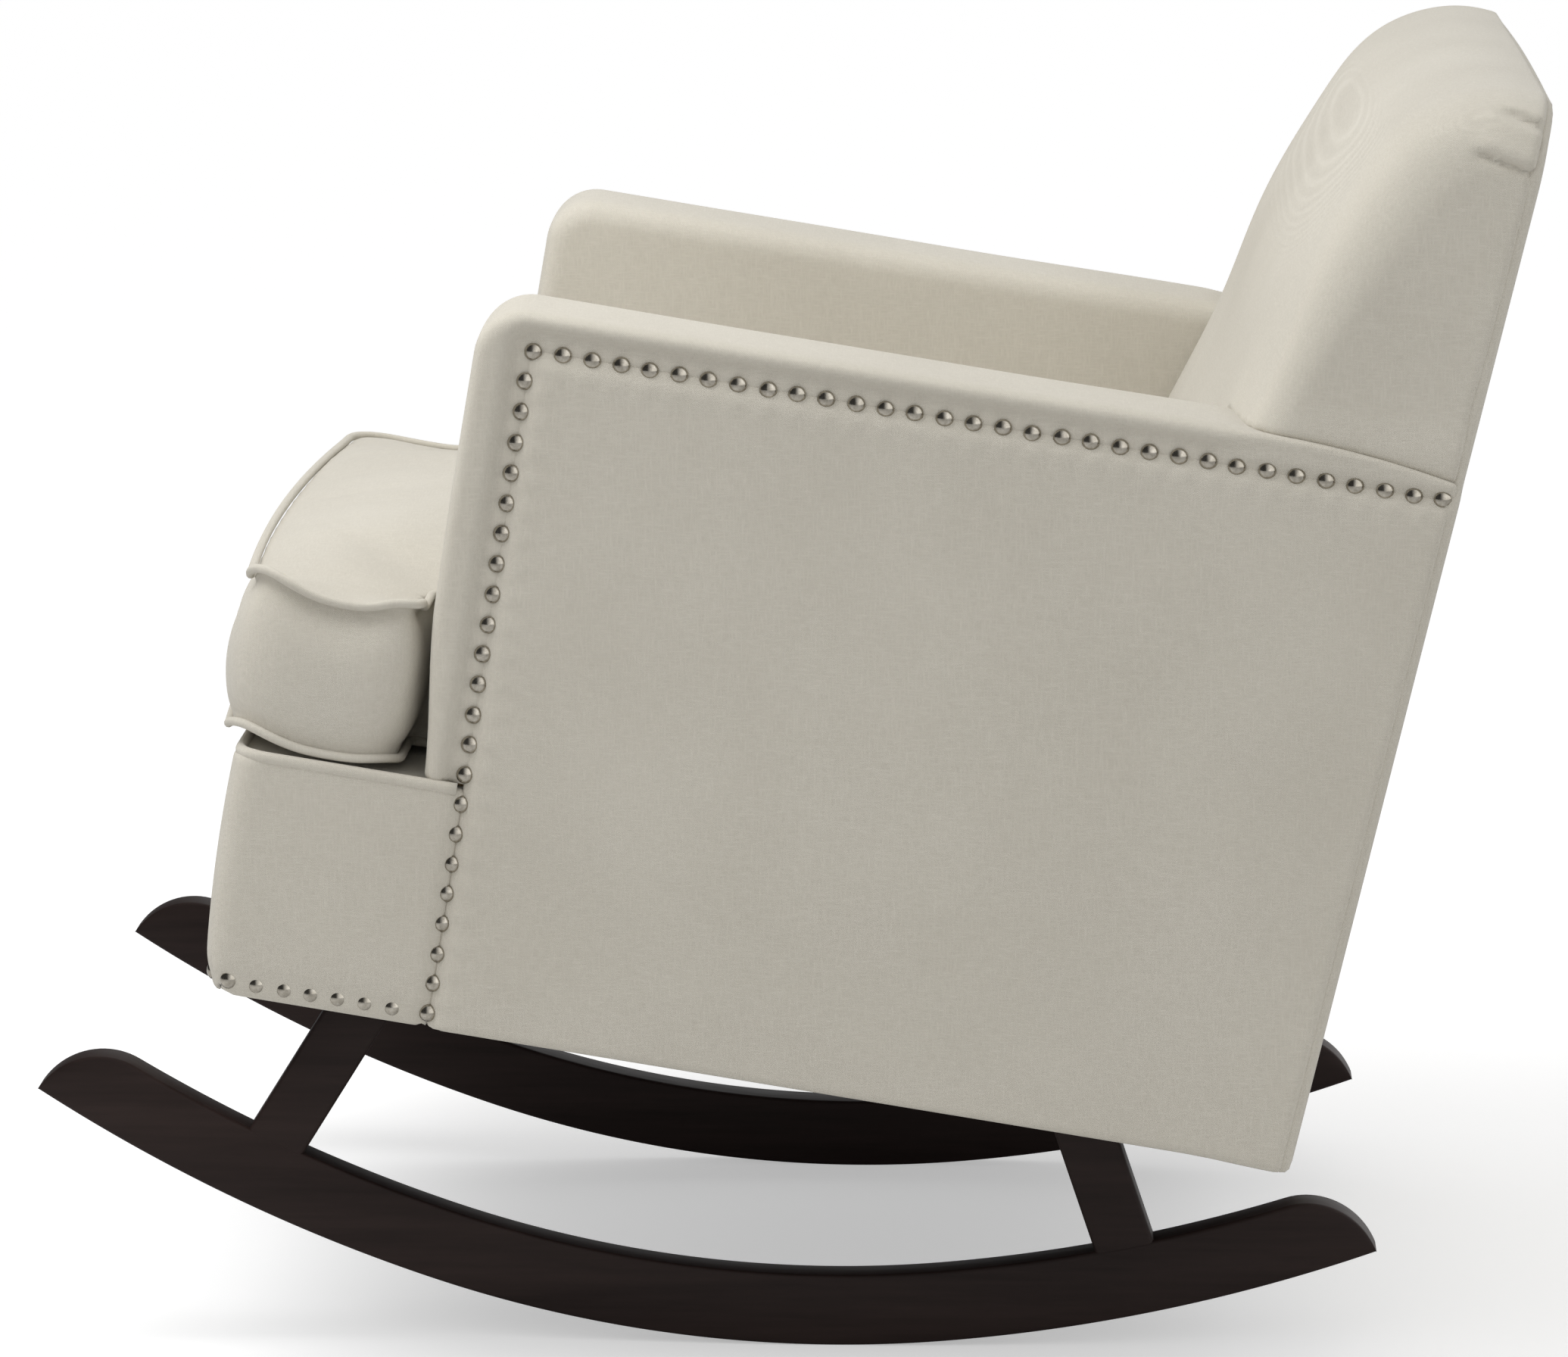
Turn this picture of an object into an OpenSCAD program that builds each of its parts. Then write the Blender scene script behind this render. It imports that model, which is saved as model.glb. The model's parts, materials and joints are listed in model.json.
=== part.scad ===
// Upholstered rocking chair: a club-style body on two bow runners, with a loose T-shaped seat cushion.
// Millimetres, +Z up. The chair faces -Y and stands as it comes to rest, rocked a little back.
// The origin is on the floor, in the middle of the overall bounding box.
// Base pieces are drawn level in the base frame, whose origin is the lowest point of the runners.
// Body pieces are drawn level in the body frame, whose origin is the bottom of the front nail column.

/* [Overall] */
// Width over the outside arm panels
chair_w = 711; // [690:1:740]
// Backward lean of the rocker base as the chair comes to rest, degrees
rock_back = 6.54; // [5:0.01:8]
// Extra backward pitch of the body on the base, degrees
seat_pitch = 2.51; // [1:0.01:4]

/* [Rocker base] */
// Radius of the runners' lower edge in the middle
runner_r = 816; // [800:1:840]
// Radius of the lower edge towards the tips
runner_tip_r = 1094; // [1050:1:1150]
// Angle from the middle at which the radius changes, degrees
runner_mid_angle = 12; // [10:0.5:14]
// Slope of the lower edge at the tips, degrees
runner_end_angle = 26.68; // [26:0.01:27.5]
// Height of a runner
runner_h = 44; // [40:1:48]
// Thickness of the runners and legs
runner_t = 28; // [24:1:32]
// Width of a leg
leg_w = 38; // [34:1:42]
// Outward lean of the legs towards their feet, degrees
leg_splay = 25.3; // [23:0.1:27]
// Distance of a leg's foot from the middle of the runner
leg_foot_y = 272.5; // [262:0.5:280]

/* [Arms] */
// Width of an arm, from its inner face to the outside panel
arm_w = 93; // [90:1:100]
// Height of the arm top above the underside of the body
arm_h = 461; // [440:1:480]
// How far the rounded arm front stands ahead of the front nail column
arm_front = 34; // [30:1:36]
// Radius of the arm's top front corner
arm_round = 32; // [20:1:36]

/* [Front] */
// How far the front rail stands ahead of the front nail column
ear_depth = 142; // [135:1:148]
// Height of the front rail's top
rail_h = 157; // [150:1:160]

/* [Back] */
// Height of the crest of the back
back_h = 688; // [670:1:710]
// Distance from the front nail column to the rear face, at the underside
rear_y = 553; // [545:1:560]
// Recline of the outside back, degrees
rear_angle = 4.27; // [3.5:0.01:5]
// Recline of the inside back, degrees
front_angle = 17.3; // [16:0.1:18]
// Front face of the inside back where it meets the deck
back_foot_y = 339; // [330:1:345]
// Rounding of the crest's front edge
crest_round = 70; // [55:1:75]
// Rounding of the back's top corners, seen from the front
shoulder_round = 60; // [40:1:75]

/* [Seat cushion] */
// Height of the boxing between the two rows of piping
boxing_h = 105; // [95:1:108]
// How far the cushion's front stands ahead of the front nail column
cushion_front = 150; // [145:1:153]
// Radius of the piping
piping_r = 3; // [2.5:0.5:3.5]

/* [Nailheads] */
// Diameter of a nailhead
nail_d = 11; // [9:0.5:12]
// Number of nailheads along an arm
arm_nails = 32; // [24:1:34]
// Number of nailheads down a front column, below the corner one
column_nails = 22; // [16:1:23]
// Number of nailheads along the bottom of an ear
ear_nails = 7; // [5:1:7]
// Number of nailheads across the bottom of the front
front_nails = 37; // [25:1:38]

/* [Hidden] */

// Colours
linen = "#c9c3b4";
linen_dark = "#b3ac9d";
espresso = "#2d2321";
pale_wood = "#cfae7c";
plywood = "#d9bf92";
foam = "#efe3b0";
pewter = "#8b857b";
steel = "#9a9ea3";
black_cloth = "#26262a";
jute = "#b59a68";
card = "#a98f6c";

// Fit
snug = 0.5;
cut = 1;
arc_fn = 360;
round_fn = 48;

// Overall
half_w = chair_w / 2;
inner_x = half_w - arm_w;

// Where the body sits on the base
body_y = -184.3;
body_z = 201.6;

// Upholstery and frame layers, counted inwards from the outside of the arm
panel_t = 4.5;
stiffener_t = 4;
cover_t = 12;
arm_inner_t = 14;
arm_top_t = 18;
arm_front_t = 17;
front_round = 20;
arm_edge_x = half_w - 2.5;
arm_rim_x = half_w - 15;
stiffener_x = half_w - panel_t - stiffener_t;
arm_cover_z = rail_h + snug;
nail_row_z = arm_h - 26;
nail_line_y = 1;

// Frame timber
rail_t = 25;
front_rail_t = 32;
rail_low = 8;
rail_top = 128;
side_rail_top = 108;
side_rail_x = inner_x + snug;
front_rail_y = -ear_depth + cover_t + 3;
post_x = [half_w - 58, half_w - 18];
post_y = [-16, 12];
board_t = 21;
board_top = arm_h - arm_top_t - 2;
liner_t = 6;
ply_t = 20;
back_side_x = half_w - 37.5;
leg_reach = 70;
leg_foot_z = 99;

// Leg joinery
dowel_r = 5;
dowel_reach = 20;
dowel_gap = 18;
bolt_r = 4;
bolt_hole_r = 4.3;
bolt_steps = [20, 48];
washer_r = 10;
washer_t = 2;
nut_t = 6.5;
nut_r = 7.5;
bolt_head_r = 9;
bolt_head_t = 5;

// Springs and deck
spring_r = 2.2;
spring_z = 132;
spring_bend = 16;
spring_run = 14;
spring_count = 5;
spring_pitch = 100;
spring_rail_y = 430;
spring_turns = 17;
spring_front_y = front_rail_y + front_rail_t / 2;
spring_end_y = spring_front_y + 2 * spring_bend * spring_turns;
deck_z = [138, 140, 152, rail_h];

// Back
rear_panel_t = 5;
seam_gap = 0.1;
rear_board_t = 4;
pad_t = 38;
webbing_t = 2;
webbing_w = 50;
back_w = half_w - 7;
back_cavity_x = half_w - 17;
back_cavity_top = back_h - 50;
back_side_foot_y = 430;
window_r = 34;
crest_edge = 6;
shell_low = 3;
crest_centre = [
    back_foot_y + (back_h - crest_round - rail_h) * tan(front_angle) + crest_round / cos(front_angle),
    back_h - crest_round
];

// Cushion
cushion_low = 163;
cushion_top = cushion_low + boxing_h;
cushion_w = half_w - 6.5;
stem_w = inner_x - 6;
ear_back_y = -44;
cushion_round = 30;
cushion_skin = 4;
cushion_gap = 5;
zip_len = 420;
zip_w = 24;

// Nailheads
nail_rise = 3.5;
nail_shank_r = 0.8;
nail_shank = 6;
nail_sphere = (nail_d * nail_d / 4 + nail_rise * nail_rise) / (2 * nail_rise);
nail_low_z = 10;
front_nail_x = half_w - 25;

// Rear face, the seam just inside it, inside back and rear of its pad, as depths at a height
function rear(z) = rear_y + z * tan(rear_angle);
function front_face(z) = back_foot_y + (z - rail_h) * tan(front_angle);
function rear_seam(z) = rear(z) - (rear_panel_t + seam_gap) / cos(rear_angle);
function pad_rear(z) = front_face(z) + pad_t / cos(front_angle);

// Cushion's rear edge at a height, parallel to the inside back
function cushion_rear(z) = front_face(z) - cushion_gap;

// Centre of the arcs towards the tips, and points on a runner's edges by slope angle
tip_centre = [
    (runner_r - runner_tip_r) * sin(runner_mid_angle),
    runner_r + (runner_tip_r - runner_r) * cos(runner_mid_angle)
];
quarter_angle = runner_end_angle - (runner_h / runner_tip_r) * 180 / PI;
function tip_arc(a) = tip_centre + runner_tip_r * [sin(a), -cos(a)];

// A leg's centre line, by distance from its foot, and where it enters the body
function leg_point(side, d) = [
    side * (leg_foot_y - sin(leg_splay) * d),
    leg_foot_z + cos(leg_splay) * d
];
function leg_entry(side) =
    (body_z - leg_foot_z - (side * leg_foot_y - body_y) * tan(seat_pitch))
    / (cos(leg_splay) - side * sin(leg_splay) * tan(seat_pitch));

// How far the chair reaches to the front and rear, which centres it on the origin
function base_world_y(p) = p[0] * cos(rock_back) + (p[1] - runner_r) * sin(rock_back);
function body_to_base(p) = [
    body_y + p[0] * cos(seat_pitch) + p[1] * sin(seat_pitch),
    body_z - p[0] * sin(seat_pitch) + p[1] * cos(seat_pitch)
];
back_top_corner = [
    rear_y + sin(rear_angle) * (back_h - crest_edge),
    cos(rear_angle) * (back_h - crest_edge)
];
front_reach = base_world_y([-tip_arc(runner_end_angle)[0], tip_arc(runner_end_angle)[1]]);
rear_reach = base_world_y(body_to_base(back_top_corner));
centre_y = -(front_reach + rear_reach) / 2;

// Placing

module stand_base() {
    translate([0, centre_y, runner_r])
        rotate([-rock_back, 0, 0])
            translate([0, 0, -runner_r])
                children();
}

module stand_body() {
    stand_base()
        translate([0, body_y, body_z])
            rotate([-seat_pitch, 0, 0])
                children();
}

// Leans what it holds back with the rear face: local y is 0 on that face
module on_rear() {
    translate([0, rear_y, 0])
        rotate([-rear_angle, 0, 0])
            children();
}

// Leans what it holds back with the webbing: local y is 0 on the rear of the pad
module on_webbing() {
    translate([0, pad_rear(0), 0])
        rotate([-front_angle, 0, 0])
            children();
}

module both_sides() {
    children();
    mirror([1, 0, 0])
        children();
}

module on_side(side) {
    if (side > 0) children();
    else mirror([1, 0, 0]) children();
}

// Shapes

module box(low, high) {
    translate(low)
        cube(high - low);
}

// Extrudes a side-view outline, drawn as (depth, height), from x0 to x1
module slab(x0, x1) {
    translate([x0, 0, 0])
        rotate([90, 0, 90])
            linear_extrude(x1 - x0)
                children();
}

module round_rect(low, high, r) {
    translate([low[0] + r, low[1]])
        square([high[0] - low[0] - 2 * r, high[1] - low[1]]);
    translate([low[0], low[1] + r])
        square([high[0] - low[0], high[1] - low[1] - 2 * r]);
    for (x = [low[0] + r, high[0] - r], y = [low[1] + r, high[1] - r])
        translate([x, y])
            circle(r, $fn = round_fn);
}

// A quarter of a ring of piping, turned to start at angle a
module piping_bend(centre, a, bend_r, tube_r) {
    translate(centre)
        rotate([0, 0, a])
            rotate_extrude(angle = 90, $fn = round_fn)
                translate([bend_r, 0])
                    circle(tube_r, $fn = round_fn);
}

// A straight tube between two points at one height
module piping_run(from, to, tube_r) {
    run = to - from;
    translate(from)
        rotate([0, 0, atan2(run[1], run[0])])
            rotate([0, 90, 0])
                cylinder(h = norm(run), r = tube_r, $fn = round_fn);
}

// Rocker base

// The space above a runner's lower edge, or above its upper edge when inset by runner_h.
// The middle disc lies inside the two larger ones and touches them where the radius changes.
module above_edge(inset) {
    reach = 1.2 * runner_tip_r;
    translate([0, runner_r])
        circle(runner_r - inset, $fn = arc_fn);
    for (flip = [0, 1])
        mirror([flip, 0])
            translate(tip_centre)
                intersection() {
                    circle(runner_tip_r - inset, $fn = arc_fn);
                    polygon([
                        [0, 0], reach * [sin(runner_mid_angle), -cos(runner_mid_angle)],
                        reach * [sin(runner_end_angle), -cos(runner_end_angle)]
                    ]);
                }
}

module runner_tip() {
    intersection() {
        translate(tip_centre)
            circle(runner_tip_r, $fn = arc_fn);
        translate(tip_arc(quarter_angle))
            intersection() {
                circle(runner_h, $fn = round_fn * 2);
                rotate(quarter_angle)
                    square(2 * runner_h + cut);
            }
    }
}

// The sector of a runner between its two rounded tips
module runner_sector() {
    reach = 2 * runner_tip_r;
    ends = [for (side = [-1, 1]) [side * tip_arc(quarter_angle)[0], tip_arc(quarter_angle)[1]]];
    up = [sin(quarter_angle), -cos(quarter_angle)];
    polygon([
        ends[0] + [-up[0], up[1]], ends[0] - runner_h * 2 * [-up[0], up[1]],
        ends[1] - runner_h * 2 * up, ends[1] + up,
        [0, -runner_h]
    ]);
}

module runner_outline() {
    intersection() {
        difference() {
            above_edge(0);
            above_edge(runner_h);
        }
        runner_sector();
    }
    for (flip = [0, 1])
        mirror([flip, 0])
            runner_tip();
}

module leg_outline(side) {
    intersection() {
        translate([side * leg_foot_y, leg_foot_z])
            rotate(side * leg_splay)
                translate([-leg_w / 2, -runner_h])
                    square([leg_w, 6 * runner_h]);
        translate([side * tip_centre[0], tip_centre[1]])
            circle(runner_tip_r - runner_h, $fn = arc_fn);
        translate([body_y, body_z])
            rotate(-seat_pitch)
                translate([-2 * ear_depth, leg_reach - runner_r])
                    square([2 * runner_r, runner_r]);
    }
}

// Puts what it holds on a leg's centre line, with z along the leg
module along_leg(side, d) {
    p = leg_point(side, d);
    translate([inner_x - runner_t / 2, p[0], p[1]])
        rotate([side * leg_splay, 0, 0])
            children();
}

module leg_dowel_pair(side, r) {
    for (offset_y = [-dowel_gap / 2, dowel_gap / 2])
        along_leg(side, 0)
            translate([0, offset_y, -dowel_reach])
                cylinder(h = 2 * dowel_reach, r = r, $fn = round_fn);
}

module bolt_places(side) {
    for (step = bolt_steps) {
        p = leg_point(side, leg_entry(side) + step);
        translate([inner_x, p[0], p[1]])
            rotate([0, 90, 0])
                children();
    }
}

module leg_bolt_holes(side) {
    bolt_places(side)
        translate([0, 0, -2 * runner_t])
            cylinder(h = 4 * runner_t, r = bolt_hole_r, $fn = round_fn);
}

module runner(side) {
    color(espresso)
        stand_base()
            on_side(side)
                difference() {
                    slab(inner_x - runner_t, inner_x)
                        runner_outline();
                    leg_dowel_pair(-1, dowel_r);
                    leg_dowel_pair(1, dowel_r);
                }
}

module leg(side, end) {
    color(espresso)
        stand_base()
            on_side(side)
                difference() {
                    slab(inner_x - runner_t, inner_x)
                        leg_outline(end);
                    leg_dowel_pair(end, dowel_r);
                    leg_bolt_holes(end);
                }
}

module leg_dowels() {
    color(pale_wood)
        stand_base()
            both_sides()
                for (end = [-1, 1])
                    leg_dowel_pair(end, dowel_r);
}

module leg_bolts() {
    inner_end = runner_t + washer_t + nut_t + 3;
    outer_end = rail_t + snug + washer_t;
    color(steel)
        stand_base()
            both_sides()
                for (end = [-1, 1])
                    bolt_places(end) {
                        translate([0, 0, -inner_end])
                            cylinder(h = inner_end + outer_end, r = bolt_r, $fn = round_fn);
                        translate([0, 0, outer_end])
                            cylinder(h = bolt_head_t, r = bolt_head_r, $fn = round_fn);
                    }
}

module leg_washers() {
    color(steel)
        stand_base()
            both_sides()
                for (end = [-1, 1])
                    bolt_places(end)
                        for (z = [-runner_t - washer_t, rail_t + snug])
                            translate([0, 0, z])
                                difference() {
                                    cylinder(h = washer_t, r = washer_r, $fn = round_fn);
                                    translate([0, 0, -cut])
                                        cylinder(h = washer_t + 2 * cut, r = bolt_r, $fn = round_fn);
                                }
}

module leg_nuts() {
    color(steel)
        stand_base()
            both_sides()
                for (end = [-1, 1])
                    bolt_places(end)
                        translate([0, 0, -runner_t - washer_t - nut_t])
                            difference() {
                                cylinder(h = nut_t, r = nut_r, $fn = 6);
                                translate([0, 0, -cut])
                                    cylinder(h = nut_t + 2 * cut, r = bolt_r, $fn = round_fn);
                            }
}

// Brings the base's bolt holes into the body frame, for the side rails they pass through
module base_in_body() {
    rotate([seat_pitch, 0, 0])
        translate([0, -body_y, -body_z])
            children();
}

// Seat frame

module seat_rail_front() {
    reach = half_w - cover_t - 2;
    color(pale_wood)
        stand_body()
            box([-reach, front_rail_y, rail_low], [reach, front_rail_y + front_rail_t, rail_top]);
}

module seat_rail_side(side) {
    color(pale_wood)
        stand_body()
            on_side(side)
                difference() {
                    box([side_rail_x, front_rail_y + front_rail_t, rail_low],
                        [side_rail_x + rail_t, rear(0) - rail_t - 2 * rear_panel_t, side_rail_top]);
                    base_in_body()
                        for (end = [-1, 1])
                            leg_bolt_holes(end);
                }
}

module seat_rail_rear() {
    color(pale_wood)
        stand_body()
            on_rear()
                box([-back_side_x, -rear_panel_t - rear_board_t - rail_t, rail_low],
                    [back_side_x, -rear_panel_t - rear_board_t, rail_top]);
}

module seat_rail_cross() {
    cross_y = 30;
    color(pale_wood)
        stand_body()
            box([-side_rail_x, cross_y, rail_low], [side_rail_x, cross_y + rail_t, side_rail_top]);
}

module spring_rail() {
    low = 62;
    color(pale_wood)
        stand_body()
            box([-side_rail_x, spring_rail_y, low], [side_rail_x, spring_rail_y + rail_t, rail_top]);
}

module ear_rail(side) {
    outer = half_w - cover_t - 1;
    color(pale_wood)
        stand_body()
            on_side(side)
                box([outer - rail_t, front_rail_y + front_rail_t, rail_low], [outer, post_y[0], rail_top]);
}

module corner_blocks() {
    front_size = 34;
    rear_size = 55;
    low = 20;
    high = 90;
    rear_face = rear(0) - rail_t - 2 * rear_panel_t;
    color(pale_wood)
        stand_body()
            both_sides()
                translate([0, 0, low])
                    linear_extrude(high - low) {
                        translate([side_rail_x, front_rail_y + front_rail_t])
                            polygon([[0, 0], [-front_size, 0], [0, front_size]]);
                        translate([side_rail_x, rear_face])
                            polygon([[0, 0], [-rear_size, 0], [0, -rear_size]]);
                    }
}

// Arm frames

module arm_post(side) {
    color(pale_wood)
        stand_body()
            on_side(side)
                box([post_x[0], post_y[0], rail_low], [post_x[1], post_y[1], board_top - board_t]);
}

module arm_board(side) {
    color(pale_wood)
        stand_body()
            on_side(side)
                slab(post_x[0], post_x[1])
                    polygon([
                        [post_y[0], board_top - board_t], [pad_rear(board_top - board_t), board_top - board_t],
                        [pad_rear(board_top), board_top], [post_y[0], board_top]
                    ]);
}

module arm_liner(side) {
    x = inner_x + arm_inner_t + 1;
    top = board_top - board_t - 1;
    color(plywood)
        stand_body()
            on_side(side)
                slab(x, x + liner_t)
                    polygon([
                        [post_y[1] + 2, arm_cover_z], [pad_rear(arm_cover_z), arm_cover_z],
                        [pad_rear(top), top], [post_y[1] + 2, top]
                    ]);
}

module arm_rail(side) {
    top = 48;
    color(pale_wood)
        stand_body()
            on_side(side)
                box([stiffener_x - rail_t, post_y[1] + 2, rail_low], [stiffener_x, back_side_foot_y, top]);
}

// Back frame

module back_side(side) {
    low = 150;
    color(plywood)
        stand_body()
            on_side(side)
                slab(back_side_x, back_side_x + ply_t)
                    difference() {
                        polygon([
                            [back_side_foot_y, rail_low],
                            [rear(rail_low) - 2 * rear_panel_t, rail_low],
                            [rear(back_cavity_top) - 2 * rear_panel_t, back_cavity_top],
                            [pad_rear(back_cavity_top) + webbing_t + 1, back_cavity_top],
                            [pad_rear(low) + webbing_t + 1, low],
                            [back_side_foot_y, low - 40]
                        ]);
                        for (z = [200, 290, 380])
                            translate([(pad_rear(z) + rear(z)) / 2, z])
                                circle(window_r, $fn = round_fn);
                    }
}

module back_crest_rail() {
    height = 44;
    depth = 26;
    color(pale_wood)
        stand_body()
            on_rear()
                box([-back_side_x, -2 * rear_panel_t - depth, back_cavity_top - height - 4],
                    [back_side_x, -2 * rear_panel_t, back_cavity_top - 4]);
}

module back_lower_rail() {
    height = 50;
    low = 190;
    color(pale_wood)
        stand_body()
            on_webbing()
                box([-back_side_x, webbing_t + 1, low], [back_side_x, webbing_t + 1 + rail_t, low + height]);
}

module back_webbing() {
    color(jute)
        stand_body()
            on_webbing()
                for (z = [250, 335, 420, 505, 590])
                    box([-back_cavity_x + 1, 0, z], [back_cavity_x - 1, webbing_t, z + webbing_w]);
}

// Springs and deck

// One sinuous spring in the horizontal plane, from the front rail to the spring rail
module seat_spring() {
    for (i = [0:spring_turns]) {
        y = 2 * spring_bend * i;
        translate([-spring_run, y, 0])
            rotate([0, 90, 0])
                cylinder(h = 2 * spring_run, r = spring_r, $fn = round_fn);
        if (i < spring_turns) {
            side = i % 2 == 0 ? 1 : -1;
            translate([side * spring_run, y + spring_bend, 0])
                rotate([0, 0, side > 0 ? -90 : 90])
                    rotate_extrude(angle = 180, $fn = round_fn)
                        translate([spring_bend, 0])
                            circle(spring_r, $fn = round_fn);
        }
    }
}

module spring_places() {
    for (i = [0:spring_count - 1])
        translate([(i - (spring_count - 1) / 2) * spring_pitch, 0, 0])
            children();
}

module seat_springs() {
    color(steel)
        stand_body()
            spring_places()
                translate([0, spring_front_y, spring_z])
                    seat_spring();
}

module spring_clips() {
    half = [8, 8];
    color(steel)
        stand_body()
            spring_places()
                for (y = [spring_front_y, spring_end_y])
                    difference() {
                        box([-half[0], y - half[1], rail_top], [half[0], y + half[1], spring_z + spring_r + 1]);
                        translate([-2 * half[0], y, spring_z])
                            rotate([0, 90, 0])
                                cylinder(h = 4 * half[0], r = spring_r, $fn = round_fn);
                    }
}

module deck_layer(z0, z1, front) {
    stand_body()
        slab(-inner_x + 1, inner_x - 1)
            polygon([[front, z0], [pad_rear(z0), z0], [pad_rear(z1), z1], [front, z1]]);
}

module deck_cloth() {
    color(jute)
        deck_layer(deck_z[0], deck_z[1], 0);
}

module deck_pad() {
    color(foam)
        deck_layer(deck_z[1], deck_z[2], nail_line_y);
}

module deck_cover() {
    color(linen_dark)
        deck_layer(deck_z[2], deck_z[3], nail_line_y);
}

// Outside panels

module side_panel(x0, x1, margin) {
    low = shell_low + margin;
    top = nail_row_z + nail_line_y - margin;
    slab(x0, x1)
        polygon([
            [nail_line_y + margin, low], [rear_seam(low) - margin, low],
            [rear_seam(top) - margin, top], [nail_line_y + margin, top]
        ]);
}

module arm_stiffener(side) {
    color(card)
        stand_body()
            on_side(side)
                side_panel(stiffener_x, stiffener_x + stiffener_t, 4);
}

module outside_arm(side) {
    color(linen)
        stand_body()
            on_side(side)
                side_panel(half_w - panel_t, half_w, 0);
}

module back_stiffener() {
    color(card)
        stand_body()
            on_rear()
                box([-back_cavity_x + 2, -rear_panel_t - rear_board_t, 2 * rail_low],
                    [back_cavity_x - 2, -rear_panel_t, back_cavity_top - 6]);
}

module outside_back() {
    color(linen)
        stand_body()
            on_rear()
                rotate([90, 0, 0])
                    linear_extrude(rear_panel_t)
                        difference() {
                            round_rect([-back_w, -shoulder_round], [back_w, back_h - crest_edge], shoulder_round);
                            translate([-half_w, -half_w + shell_low])
                                square([2 * half_w, half_w]);
                        }
}

// Arm upholstery

module arm_profile() {
    back = rear_seam(arm_h);
    difference() {
        polygon([
            [-arm_front, arm_cover_z], [-arm_front, arm_h], [back, arm_h],
            [rear_seam(arm_cover_z), arm_cover_z]
        ]);
        translate([-arm_front, arm_h])
            difference() {
                square(2 * arm_round, center = true);
                translate([arm_round, -arm_round])
                    circle(arm_round, $fn = 2 * round_fn);
            }
    }
}

module back_cavity() {
    low = 100;
    slab(-back_cavity_x, back_cavity_x)
        polygon([
            [pad_rear(low), low], [pad_rear(back_cavity_top), back_cavity_top],
            [2 * rear_y, back_cavity_top], [2 * rear_y, low]
        ]);
}

module arm_cover(side) {
    color(linen)
        stand_body()
            on_side(side)
                difference() {
                    slab(inner_x, arm_edge_x)
                        arm_profile();
                    box([inner_x + arm_inner_t, -arm_front + arm_front_t, 0],
                        [arm_rim_x, 2 * rear_y, arm_h - arm_top_t]);
                    box([arm_rim_x - cut, nail_line_y, 0],
                        [half_w, 2 * rear_y, nail_row_z + nail_line_y]);
                    back_cavity();
                }
}

// Front rail upholstery

module front_plan(inset) {
    difference() {
        round_rect([-half_w + inset, -ear_depth + inset], [half_w - inset, 2 * front_round], front_round - inset);
        translate([-half_w, nail_line_y - snug])
            square([2 * half_w, 4 * front_round]);
    }
}

module lip_path() {
    x = half_w;
    y = -ear_depth;
    piping_run([-x + front_round, y, rail_h], [x - front_round, y, rail_h], piping_r);
    both_sides() {
        piping_bend([x - front_round, y + front_round, rail_h], 270, front_round, piping_r);
        piping_run([x, y + front_round, rail_h], [x, -arm_front, rail_h], piping_r);
    }
}

module lip_welt() {
    color(linen_dark)
        stand_body()
            lip_path();
}

module front_cover() {
    color(linen)
        stand_body()
            difference() {
                translate([0, 0, shell_low])
                    linear_extrude(rail_h - shell_low)
                        front_plan(0);
                linear_extrude(rail_h - cover_t)
                    front_plan(cover_t);
                both_sides()
                    box([inner_x + arm_inner_t, -arm_front + arm_front_t, 0],
                        [half_w - cover_t, 2 * front_round, 2 * rail_h]);
                lip_path();
            }
}

// Inside back upholstery

module back_profile() {
    limit_z = back_h - crest_edge;
    front_dir = [-cos(front_angle), sin(front_angle)];
    reach = 2 * crest_round;
    difference() {
        polygon([
            [back_foot_y, rail_h + snug], [front_face(back_h), back_h],
            [rear(limit_z) - 3 * crest_edge, back_h], [rear_seam(limit_z), limit_z],
            [rear_seam(rail_h), rail_h + snug]
        ]);
        translate(crest_centre)
            difference() {
                polygon([[0, 0], reach * front_dir, reach * (front_dir + [0, 1]), [0, reach]]);
                circle(crest_round, $fn = 2 * round_fn);
            }
    }
}

module back_front_view() {
    difference() {
        round_rect([-back_w, arm_h + snug - shoulder_round], [back_w, back_h], shoulder_round);
        translate([-half_w, arm_h + snug - 2 * shoulder_round])
            square([2 * half_w, 2 * shoulder_round]);
    }
    translate([-inner_x + snug, rail_h])
        square([2 * (inner_x - snug), arm_h - rail_h + 2 * cut]);
}

module inside_back() {
    color(linen)
        stand_body()
            difference() {
                intersection() {
                    slab(-back_w - cut, back_w + cut)
                        back_profile();
                    translate([0, 2 * rear_y, 0])
                        rotate([90, 0, 0])
                            linear_extrude(2 * rear_y)
                                back_front_view();
                }
                back_cavity();
            }
}

// Underside

module dust_cover() {
    reach = half_w - cover_t - 3;
    clearance = 2;
    color(black_cloth)
        stand_body()
            difference() {
                box([-reach, front_rail_y, shell_low], [reach, rear_seam(0) - 1, shell_low + 2]);
                base_in_body()
                    both_sides()
                        for (end = [-1, 1])
                            slab(inner_x - runner_t - clearance, inner_x + clearance)
                                leg_slot(end, clearance);
            }
}

module leg_slot(end, clearance) {
    translate([end * leg_foot_y, leg_foot_z])
        rotate(end * leg_splay)
            translate([-leg_w / 2 - clearance, 0])
                square([leg_w + 2 * clearance, 6 * runner_h]);
}

// Nailheads

// One nail, its head standing out along +z and its shank below
module nail() {
    intersection() {
        translate([0, 0, nail_rise - nail_sphere])
            sphere(nail_sphere, $fn = round_fn);
        cylinder(h = nail_rise + cut, r = nail_d, $fn = round_fn);
    }
    translate([0, 0, -nail_shank])
        cylinder(h = nail_shank + cut, r = nail_shank_r, $fn = round_fn);
}

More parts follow.
